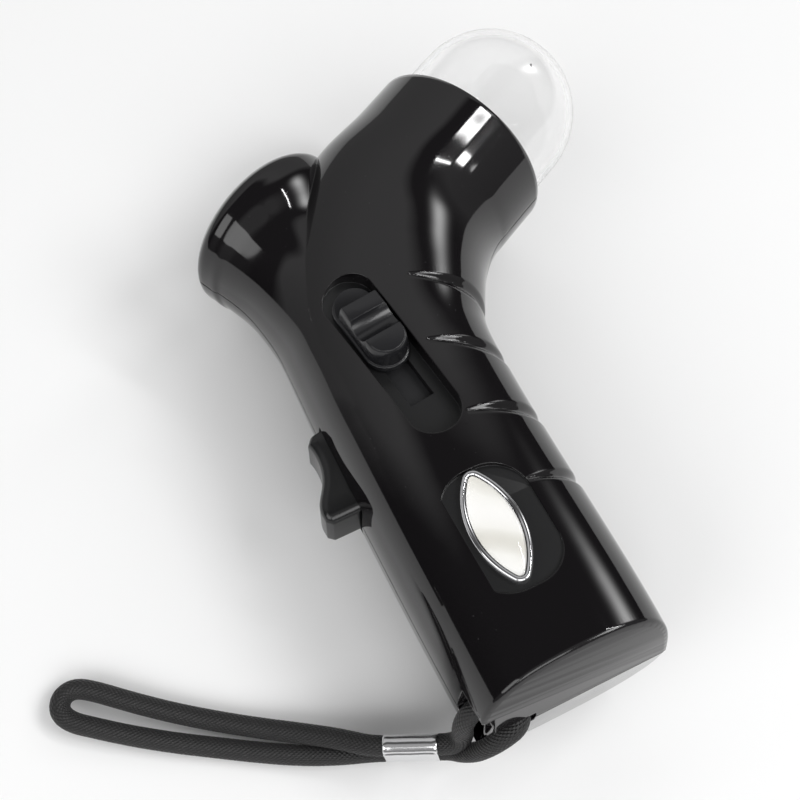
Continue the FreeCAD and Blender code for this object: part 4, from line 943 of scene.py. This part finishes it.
def knob_grip():
    """Two thumb pads with a valley between them."""
    bm = bmesh.new()
    loops = []
    for z, inset in ((0.4, 0.6), (KNOB_HEIGHT - 2.2, 0.6), (KNOB_HEIGHT - 0.6, 0.85), (KNOB_HEIGHT, 1.3)):
        loops.append(obround_ring(bm, KNOB_LENGTH - 2 * inset, KNOB_WIDTH - 2 * inset, z))
    ringed_solid(bm, loops)
    grip = tool_object(bm, "knob_grip")
    bm = bmesh.new()
    bmesh.ops.create_cube(bm, size=1)
    bmesh.ops.scale(bm, vec=(30, 20, 30), verts=bm.verts)
    bmesh.ops.translate(bm, verts=bm.verts, vec=(0, 16.0, 16.6))
    bmesh.ops.rotate(bm, verts=bm.verts, cent=(0, 6.0, KNOB_BASE), matrix=Matrix.Rotation(math.radians(9), 3, "X"))
    front = tool_object(bm, "knob_front")
    bm = bmesh.new()
    bmesh.ops.create_cone(bm, cap_ends=True, segments=64, radius1=3.3, radius2=3.3, depth=40)
    bmesh.ops.rotate(bm, verts=bm.verts, cent=(0, 0, 0), matrix=Matrix.Rotation(math.pi / 2, 3, "Y"))
    bmesh.ops.translate(bm, verts=bm.verts, vec=(0, -2.2, KNOB_HEIGHT + 0.9))
    scoop = tool_object(bm, "knob_scoop")
    return boolean(grip, [front, scoop], "DIFFERENCE")


class TREAT_OT_slide(LauncherOperator, bpy.types.Operator):
    """Thumb slide that cocks the plunger"""
    bl_idname = "treat.slide"
    bl_label = "Thumb slide"

    def execute(self, context):
        grip = knob_grip()
        bm = bmesh.new()
        loops = []
        for z, inset in ((0.0, 0.0), (KNOB_BASE - 0.5, 0.0), (KNOB_BASE - 0.15, 0.15), (KNOB_BASE, 0.5)):
            loops.append(obround_ring(bm, KNOB_LENGTH - 2 * inset, KNOB_WIDTH - 2 * inset, z))
        ringed_solid(bm, loops)
        knob = boolean(tool_object(bm, "thumb_knob"), [grip], "UNION")
        soften(knob, 0.45, 3, 28)
        bm = bmesh_of(knob)
        place_on_launch(bm, KNOB_STATION, POCKET_FLOOR + KNOB_LIFT)
        bpy.data.objects.remove(knob)
        knob = finish_object(bm, "thumb_knob", MATERIALS["grey"])
        smooth(knob, 38)
        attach(knob, "slider")
        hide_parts("slider_knob")
        return {"FINISHED"}


class TREAT_OT_trigger(LauncherOperator, bpy.types.Operator):
    """Finger trigger"""
    bl_idname = "treat.trigger"
    bl_label = "Trigger"

    def execute(self, context):
        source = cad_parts["trigger"]
        bm = bmesh.new()
        bm.from_mesh(source.data)
        bmesh.ops.transform(bm, verts=bm.verts, matrix=Matrix.Scale(1 / MM, 4) @ source.matrix_world)
        bmesh.ops.remove_doubles(bm, verts=bm.verts, dist=0.001)
        bmesh.ops.dissolve_limit(bm, angle_limit=math.radians(1), verts=bm.verts, edges=bm.edges)
        lever = tool_object(bm, "trigger_lever")
        soften(lever, 0.5, 3, 40)
        bm = bmesh_of(lever)
        bpy.data.objects.remove(lever)
        lever = finish_object(bm, "trigger_lever", MATERIALS["trigger"])
        smooth(lever, 40)
        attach(lever, "trigger")
        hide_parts("trigger")
        return {"FINISHED"}


BADGE = (-1.5, -49.3)
BADGE_TURN = math.radians(-2.9)
BADGE_LENGTH = 31.3
BADGE_WIDTH = 13.0
BADGE_TIP = 2.6
RECESS_FLOOR = 23.7


def eye_ring(bm, inset, z, scale=1.0, segments=144):
    """Ring with the badge's pointed oval outline, moved inward by an inset."""
    bow = (BADGE_LENGTH ** 2 + BADGE_WIDTH ** 2) / (4 * BADGE_WIDTH)
    centre = bow - BADGE_WIDTH / 2
    tip_middle = math.sqrt((bow - BADGE_TIP) ** 2 - centre ** 2)
    meet = tip_middle * (bow - inset) / (bow - BADGE_TIP)
    reach = tip_middle + BADGE_TIP - inset
    verts = bmesh.ops.create_circle(bm, segments=segments, radius=1.0)["verts"]
    for vert in verts:
        y = reach * vert.co.y
        if abs(y) <= meet:
            x = math.sqrt((bow - inset) ** 2 - y ** 2) - centre
        else:
            x = math.sqrt(max(0.0, (BADGE_TIP - inset) ** 2 - (abs(y) - tip_middle) ** 2))
        vert.co = Vector((math.copysign(x, vert.co.x) * scale, y * scale, z))
    return verts


def badge_piece(bm, name, finish, node_name):
    """Seat a badge piece on the recess floor in place of its CAD node."""
    turn = Matrix.Rotation(BADGE_TURN, 4, "Z")
    bmesh.ops.transform(bm, verts=bm.verts, matrix=Matrix.Translation(plan(*BADGE, RECESS_FLOOR)) @ turn)
    piece = finish_object(bm, name, finish)
    smooth(piece, 40)
    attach(piece, "housing")
    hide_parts(node_name)
    return piece


class TREAT_OT_badge(LauncherOperator, bpy.types.Operator):
    """Bare badge: bright rim, cream plate and clear crowned lens"""
    bl_idname = "treat.badge"
    bl_label = "Badge"

    def execute(self, context):
        bm = bmesh.new()
        section = [(0.0, 0.0), (0.0, 1.1), (0.1, 1.4), (0.35, 1.64), (0.7, 1.72), (1.05, 1.62),
                   (1.32, 1.35), (1.4, 1.1), (1.4, 0.0)]
        loops = [eye_ring(bm, inset, z) for inset, z in section]
        join_rings(bm, loops + loops[:1])
        bmesh.ops.recalc_face_normals(bm, faces=bm.faces)
        badge_piece(bm, "badge_rim_bright", MATERIALS["rim"], "badge_rim")

        bm = bmesh.new()
        ringed_solid(bm, [eye_ring(bm, inset, z) for inset, z in ((1.45, 0.0), (1.45, 0.7), (1.55, 0.8))])
        badge_piece(bm, "badge_plate_plain", MATERIALS["plate"], "badge_plate")

        bm = bmesh.new()
        loops = [eye_ring(bm, 1.45, 0.84), eye_ring(bm, 1.45, 1.2)]
        for step in range(1, 15):
            scale = math.cos(step / 15 * math.pi / 2)
            loops.append(eye_ring(bm, 1.45, 1.2 + 0.9 * (1 - scale ** 2) ** 0.75, scale))
        ringed_solid(bm, loops)
        badge_piece(bm, "badge_lens_clear", MATERIALS["lens"], "badge_lens")
        return {"FINISHED"}


# Routes of the strap, from part to part of the ferrule; heights from the table
FERRULE_NEAR = Vector((-29.1, -77.3, 9.6))
FERRULE_RUN = Vector((0.879, -0.457, 0.129)).normalized()
FERRULE_LENGTH = 12.7
STRAND_PITCH = 4.36
CORD_LEAD = 3.0
TETHER_ROUTE = [
    (-25.0, -81.0, 10.2), (-22.7, -83.6, 15.3), (-20.4, -84.9, 20.6), (-17.4, -85.4, 24.2),
    (-13.9, -84.9, 25.6), (-11.9, -82.6, 25.8), (-11.9, -79.6, 26.0), (-13.7, -77.4, 26.2),
    (-16.9, -76.9, 26.4), (-20.2, -77.0, 26.0), (-22.9, -77.6, 23.9), (-24.1, -78.4, 20.6),
    (-24.1, -79.0, 17.2), (-24.8, -79.0, 14.0),
]
LOOP_ROUTE = [
    (-48.4, -64.6, 7.2), (-55.8, -58.6, 4.9), (-64.4, -52.3, 3.5), (-72.8, -46.0, 3.0),
    (-81.0, -39.6, 3.2), (-88.8, -32.9, 3.7), (-95.2, -27.0, 4.2), (-99.2, -24.1, 4.3),
    (-102.9, -24.7, 4.3), (-104.6, -27.9, 4.2), (-103.0, -31.4, 4.0), (-98.9, -34.8, 3.8),
    (-92.0, -40.3, 3.3), (-83.5, -46.4, 2.9), (-74.6, -52.2, 2.6), (-65.8, -58.0, 2.6),
    (-57.0, -63.4, 3.1), (-49.4, -67.4, 4.4),
]


def on_table(point):
    """Plan point whose height counts from the table."""
    return Vector((PLAN_ZERO.x + point[0], PLAN_ZERO.y + point[1], point[2]))


def strap_routes():
    """Control points of the tether and of the hand loop, in millimetres."""
    near = on_table(FERRULE_NEAR)
    far = near - FERRULE_RUN * FERRULE_LENGTH
    side = FERRULE_RUN.cross(UP).normalized()
    lift = side.cross(FERRULE_RUN) * (STRAND_PITCH / 2)
    lead = FERRULE_RUN * CORD_LEAD
    tether = [near - lift, near - lift + lead]
    tether += [on_table(p) for p in TETHER_ROUTE]
    tether += [near + lift + lead, near + lift]
    loop = [far + lift, far + lift - lead]
    loop += [on_table(p) for p in LOOP_ROUTE]
    loop += [far - lift - lead, far - lift]
    return tether, loop


def smooth_line(name, route):
    """Points of the NURBS line over a route, in metres."""
    curve = bpy.data.curves.new(name + "_line", "CURVE")
    curve.dimensions = "3D"
    curve.resolution_u = 14
    line = curve.splines.new("NURBS")
    line.points.add(len(route) - 1)
    for point, place in zip(line.points, route):
        point.co = (*(place * MM), 1.0)
    line.order_u = 3
    line.use_endpoint_u = True
    holder = bpy.data.objects.new(name + "_line", curve)
    bpy.context.scene.collection.objects.link(holder)
    view = bpy.context.evaluated_depsgraph_get()
    view.update()
    mesh = bpy.data.meshes.new_from_object(holder.evaluated_get(view))
    points = [v.co.copy() for v in mesh.vertices]
    bpy.data.objects.remove(holder)
    bpy.data.curves.remove(curve)
    bpy.data.meshes.remove(mesh)
    return points


def resample(points, step):
    """The same line with even steps."""
    lengths = [0.0]
    for a, b in zip(points, points[1:]):
        lengths.append(lengths[-1] + (b - a).length)
    count = max(2, round(lengths[-1] / step))
    result = []
    index = 0
    for i in range(count + 1):
        at = lengths[-1] * i / count
        while index < len(points) - 2 and lengths[index + 1] < at:
            index += 1
        span = lengths[index + 1] - lengths[index]
        result.append(points[index].lerp(points[index + 1], (at - lengths[index]) / span))
    return result, lengths[-1]


def braided_tube(name, line, settings, around=80):
    """Braided cord along a line, with its plaits standing out."""
    path, length = resample(line, 0.34 * MM)
    wide = settings.width / 2
    thick = settings.thickness / 2
    bm = bmesh.new()
    loops = []
    side = None
    last = len(path) - 1
    for index, place in enumerate(path):
        ahead = (path[min(index + 1, last)] - path[max(index - 1, 0)]).normalized()
        level = ahead.cross(UP)
        if side is None:
            side = level.normalized()
        elif level.length > 0.15:
            side = side.lerp(level.normalized(), 0.15)
        side = (side - ahead * side.dot(ahead)).normalized()
        lift = side.cross(ahead)
        phase = math.pi * length * index / last / settings.plait
        verts = bmesh.ops.create_circle(bm, segments=around, radius=1.0)["verts"]
        for vert in verts:
            angle = math.atan2(vert.co.y, vert.co.x)
            crest = abs(math.sin(PLAITS * angle + phase) * math.sin(PLAITS * angle - phase))
            swell = 0.96 + 0.04 * crest
            vert.co = place + (side * (wide * math.cos(angle)) + lift * (thick * math.sin(angle))) * swell
        loops.append(verts)
    join_rings(bm, loops)
    for verts in (loops[0], loops[-1]):
        bmesh.ops.contextual_create(bm, geom=verts)
    mark_lanes(bm, loops, length / settings.plait)
    bmesh.ops.recalc_face_normals(bm, faces=bm.faces)
    bmesh.ops.scale(bm, vec=(1 / MM,) * 3, verts=bm.verts)
    piece = finish_object(bm, name, MATERIALS["braid"])
    smooth(piece, 60)
    return piece, path, length


def mark_lanes(bm, loops, crossings):
    """UV map of the braid: once round across, and one unit for each crossing along."""
    lanes = bm.loops.layers.uv.new("braid")
    around = len(loops[0])
    place = {}
    for index, verts in enumerate(loops):
        for number, vert in enumerate(verts):
            place[vert] = (number / around, crossings * index / (len(loops) - 1))
    for face in bm.faces:
        wrap = {place[corner.vert][0] for corner in face.loops} >= {0.0, (around - 1) / around}
        for corner in face.loops:
            across, along = place[corner.vert]
            corner[lanes].uv = (across + (wrap and across == 0.0), along)


FERRULE_HEIGHT = 9.4
FERRULE_WIDTH = 5.1


def crimped_ferrule():
    """Sheet sleeve round both strands: its lap shows as two lengthwise creases."""
    near = on_table(FERRULE_NEAR)
    far = near - FERRULE_RUN * FERRULE_LENGTH
    side = FERRULE_RUN.cross(UP).normalized()
    lift = side.cross(FERRULE_RUN)
    bm = bmesh.new()
    loops = []
    section = [(0.0, 0.3), (0.12, 0.08), (0.4, 0.0), (1.2, 0.06), (3.0, 0.12), (FERRULE_LENGTH / 2, 0.05)]
    section += [(FERRULE_LENGTH - at, inset) for at, inset in section[-2::-1]]
    for at, inset in section:
        verts = obround_ring(bm, FERRULE_HEIGHT - 2 * inset, FERRULE_WIDTH - 2 * inset, at, 144)
        for vert in verts:
            height = vert.co.y
            for crease, deep in ((2.9, 0.35), (-1.3, 0.45)):
                away = abs(height - crease)
                if away < 0.45 and 0.2 < at < FERRULE_LENGTH - 0.2:
                    vert.co.x *= 1 - deep * (1 - away / 0.45) / (FERRULE_WIDTH / 2)
        loops.append(verts)
    ringed_solid(bm, loops)
    turn = Matrix((side, lift, FERRULE_RUN)).transposed().to_4x4()
    bmesh.ops.transform(bm, verts=bm.verts, matrix=Matrix.Translation(far) @ turn)
    bmesh.ops.recalc_face_normals(bm, faces=bm.faces)
    piece = finish_object(bm, "ferrule_crimped", MATERIALS["ferrule"])
    smooth(piece, 50)
    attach(piece, "housing")
    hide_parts("strap_ferrule")
    return piece


class TREAT_OT_strap(LauncherOperator, bpy.types.Operator):
    """Braided wrist strap with its crimped ferrule"""
    bl_idname = "treat.strap"
    bl_label = "Strap"

    def execute(self, context):
        settings = context.scene.treat_strap
        ferrule = crimped_ferrule()
        tether, loop = strap_routes()
        for name, route in (("strap_tether", tether), ("strap_loop", loop)):
            line = smooth_line(name, route)
            piece, path, length = braided_tube(name + "_cord", line, settings)
            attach(piece, "housing")
            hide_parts(name)
        return {"FINISHED"}


CAMERA_TURN = math.radians(26.9)
CAMERA_DIP = math.radians(61.399)


def toward(turn, climb):
    """Direction by its turn right of +Y and its climb above the table, in degrees."""
    a, e = math.radians(turn), math.radians(climb)
    return Vector((math.cos(e) * math.sin(a), math.cos(e) * math.cos(a), math.sin(e)))


def tent_world():
    """Light tent: pale far wall, dark gap round it, dim grey elsewhere and a soft side panel."""
    world = bpy.data.worlds.new("light_tent")
    world.use_nodes = True
    way = node(world, "ShaderNodeTexCoord").outputs["Generated"]
    axes = node(world, "ShaderNodeSeparateXYZ", {0: way})
    turn = node(world, "ShaderNodeMath", {0: axes.outputs[0], 1: axes.outputs[1]}, operation="ARCTAN2")
    climb = node(world, "ShaderNodeMath", {0: axes.outputs[2]}, operation="ARCSINE")
    powers = []
    for angle in (turn, climb):
        part = node(world, "ShaderNodeMath", {0: angle.outputs[0], 1: math.radians(WALL_HALF)},
                    operation="DIVIDE")
        size = node(world, "ShaderNodeMath", {0: part.outputs[0]}, operation="ABSOLUTE")
        powers.append(node(world, "ShaderNodeMath", {0: size.outputs[0], 1: 4.0}, operation="POWER").outputs[0])
    total = node(world, "ShaderNodeMath", {0: powers[0], 1: powers[1]}, operation="ADD")
    away = node(world, "ShaderNodeMath", {0: total.outputs[0], 1: 0.25}, operation="POWER")
    zones = ramp(world, node(world, "ShaderNodeMapRange", {"Value": away.outputs[0], "To Min": 0.0, "To Max": 0.5,
                                                           "From Max": 1.0}, clamp=False).outputs[0],
                 [(0.0, 0.50), (0.40, 0.58), (0.48, 0.62), (0.53, 0.09), (0.66, 0.09), (0.76, 0.40)])
    high = node(world, "ShaderNodeMapRange",
                {"Value": climb.outputs[0], "From Min": 0.0, "From Max": math.radians(50),
                 "To Min": 0.55, "To Max": 1.0})
    light = node(world, "ShaderNodeMath", {0: zones, 1: high.outputs[0]}, operation="MULTIPLY")
    panel = []
    for angle, middle, spread in ((turn, 77, 5.0), (climb, 30, 9.0)):
        off = node(world, "ShaderNodeMath", {0: angle.outputs[0], 1: math.radians(middle)},
                   operation="SUBTRACT")
        part = node(world, "ShaderNodeMath", {0: off.outputs[0], 1: math.radians(spread)}, operation="DIVIDE")
        panel.append(node(world, "ShaderNodeMath", {0: part.outputs[0], 1: part.outputs[0]},
                          operation="MULTIPLY").outputs[0])
    far = node(world, "ShaderNodeMath", {0: panel[0], 1: panel[1]}, operation="ADD")
    fade = node(world, "ShaderNodeMath", {0: far.outputs[0], 1: -1.0}, operation="MULTIPLY")
    glow = node(world, "ShaderNodeMath", {0: fade.outputs[0]}, operation="EXPONENT")
    light = node(world, "ShaderNodeMath", {0: glow.outputs[0], 1: PANEL_LIGHT, 2: light.outputs[0]},
                 operation="MULTIPLY_ADD")
    back = world.node_tree.nodes["Background"]
    back.inputs["Color"].default_value = (1, 1, 1, 1)
    world.node_tree.links.new(light.outputs[0], back.inputs["Strength"])
    return world


WALL_HALF = 62.0
PANEL_LIGHT = 6.5
LAMP_DISTANCE = 3.0

# Lamps: turn right of +Y and climb, width and height, roll, all in degrees; and radiance
LAMPS = {
    "key": ((128, 46), (24, 24), 0, 6.25),
    "left_panel": ((-105, 35), (40, 30), 0, 2.4),
    "strip_upper": ((85.3, 53.0), (14, 1.0), 28.4, 48.0),
    "strip_lower": ((105.3, 46.0), (9, 2.0), 53.4, 40.0),
    "front_panel": ((-170, 40), (40, 30), 0, 3.0),
}


class TREAT_OT_stage(LauncherOperator, bpy.types.Operator):
    """Pale table, light tent, lamps and the camera"""
    bl_idname = "treat.stage"
    bl_label = "Stage"

    def execute(self, context):
        settings = context.scene.treat_stage
        scene = context.scene
        bm = bmesh.new()
        bmesh.ops.create_grid(bm, x_segments=2, y_segments=2, size=1500)
        floor = finish_object(bm, "table_top")
        material, shader = new_material("table_laminate", Base_Color=(*settings.floor, 1), Roughness=0.6)
        floor.data.materials.append(material)
        scene.world = tent_world()

        target = plan(0, 0, 0) * MM
        for name, ((turn, climb), (wide, tall), roll, radiance) in LAMPS.items():
            data = bpy.data.lights.new(name, "AREA")
            data.shape = "RECTANGLE"
            data.size = 2 * LAMP_DISTANCE * math.tan(math.radians(wide) / 2)
            data.size_y = 2 * LAMP_DISTANCE * math.tan(math.radians(tall) / 2)
            data.energy = radiance * math.pi * data.size * data.size_y * settings.key
            lamp = bpy.data.objects.new(name, data)
            scene.collection.objects.link(lamp)
            way = toward(turn, climb)
            lamp.location = target + way * LAMP_DISTANCE
            spin = Matrix.Rotation(math.radians(roll), 3, "Z")
            lamp.rotation_euler = ((-way).to_track_quat("-Z", "Y").to_matrix() @ spin).to_euler()

        camera = bpy.data.objects.new("camera", bpy.data.cameras.new("camera"))
        scene.collection.objects.link(camera)
        camera.data.lens = 67.5
        camera.data.sensor_width = 36.0
        camera.data.clip_end = 10
        a, e = CAMERA_TURN, CAMERA_DIP
        right = Vector((math.cos(a), -math.sin(a), 0))
        view = Vector((math.cos(e) * math.sin(a), math.cos(e) * math.cos(a), -math.sin(e)))
        above = right.cross(view)
        camera.rotation_euler = Matrix((right, above, -view)).transposed().to_euler()
        eye = Vector((-177.291 * math.sin(a), -177.291 * math.cos(a), 351.163))
        camera.location = (eye + Vector((PLAN_ZERO.x, PLAN_ZERO.y, 0))) * MM
        scene.camera = camera
        scene.view_settings.view_transform = "Standard"
        return {"FINISHED"}


class TREAT_PT_launcher(bpy.types.Panel):
    """Builds each piece of the launcher"""
    bl_idname = "TREAT_PT_launcher"
    bl_label = "Treat launcher"
    bl_space_type = "VIEW_3D"
    bl_region_type = "UI"
    bl_category = "Launcher"

    def draw(self, context):
        layout = self.layout
        for operator in OPERATORS:
            layout.operator(operator.bl_idname)
        for name, group in SETTINGS.items():
            for prop in group.__annotations__:
                layout.prop(getattr(context.scene, name), prop)


OPERATORS = [
    TREAT_OT_housing, TREAT_OT_inside, TREAT_OT_dome, TREAT_OT_slide, TREAT_OT_trigger,
    TREAT_OT_badge, TREAT_OT_strap, TREAT_OT_stage,
]
SETTINGS = {
    "treat_housing": HousingSettings,
    "treat_strap": StrapSettings,
    "treat_stage": StageSettings,
}


def register():
    """Register the settings, operators and panel."""
    for name, group in SETTINGS.items():
        bpy.utils.register_class(group)
        setattr(bpy.types.Scene, name, PointerProperty(type=group))
    for made in OPERATORS + [TREAT_PT_launcher]:
        bpy.utils.register_class(made)


def unregister():
    """Remove what register added."""
    for made in reversed(OPERATORS + [TREAT_PT_launcher]):
        bpy.utils.unregister_class(made)
    for name, group in SETTINGS.items():
        delattr(bpy.types.Scene, name)
        bpy.utils.unregister_class(group)


def main():
    """Build every piece."""
    register()
    MATERIALS.update(make_materials())
    for operator in OPERATORS:
        group, name = operator.bl_idname.split(".")
        getattr(getattr(bpy.ops, group), name)()


if __name__ == "__main__":
    main()
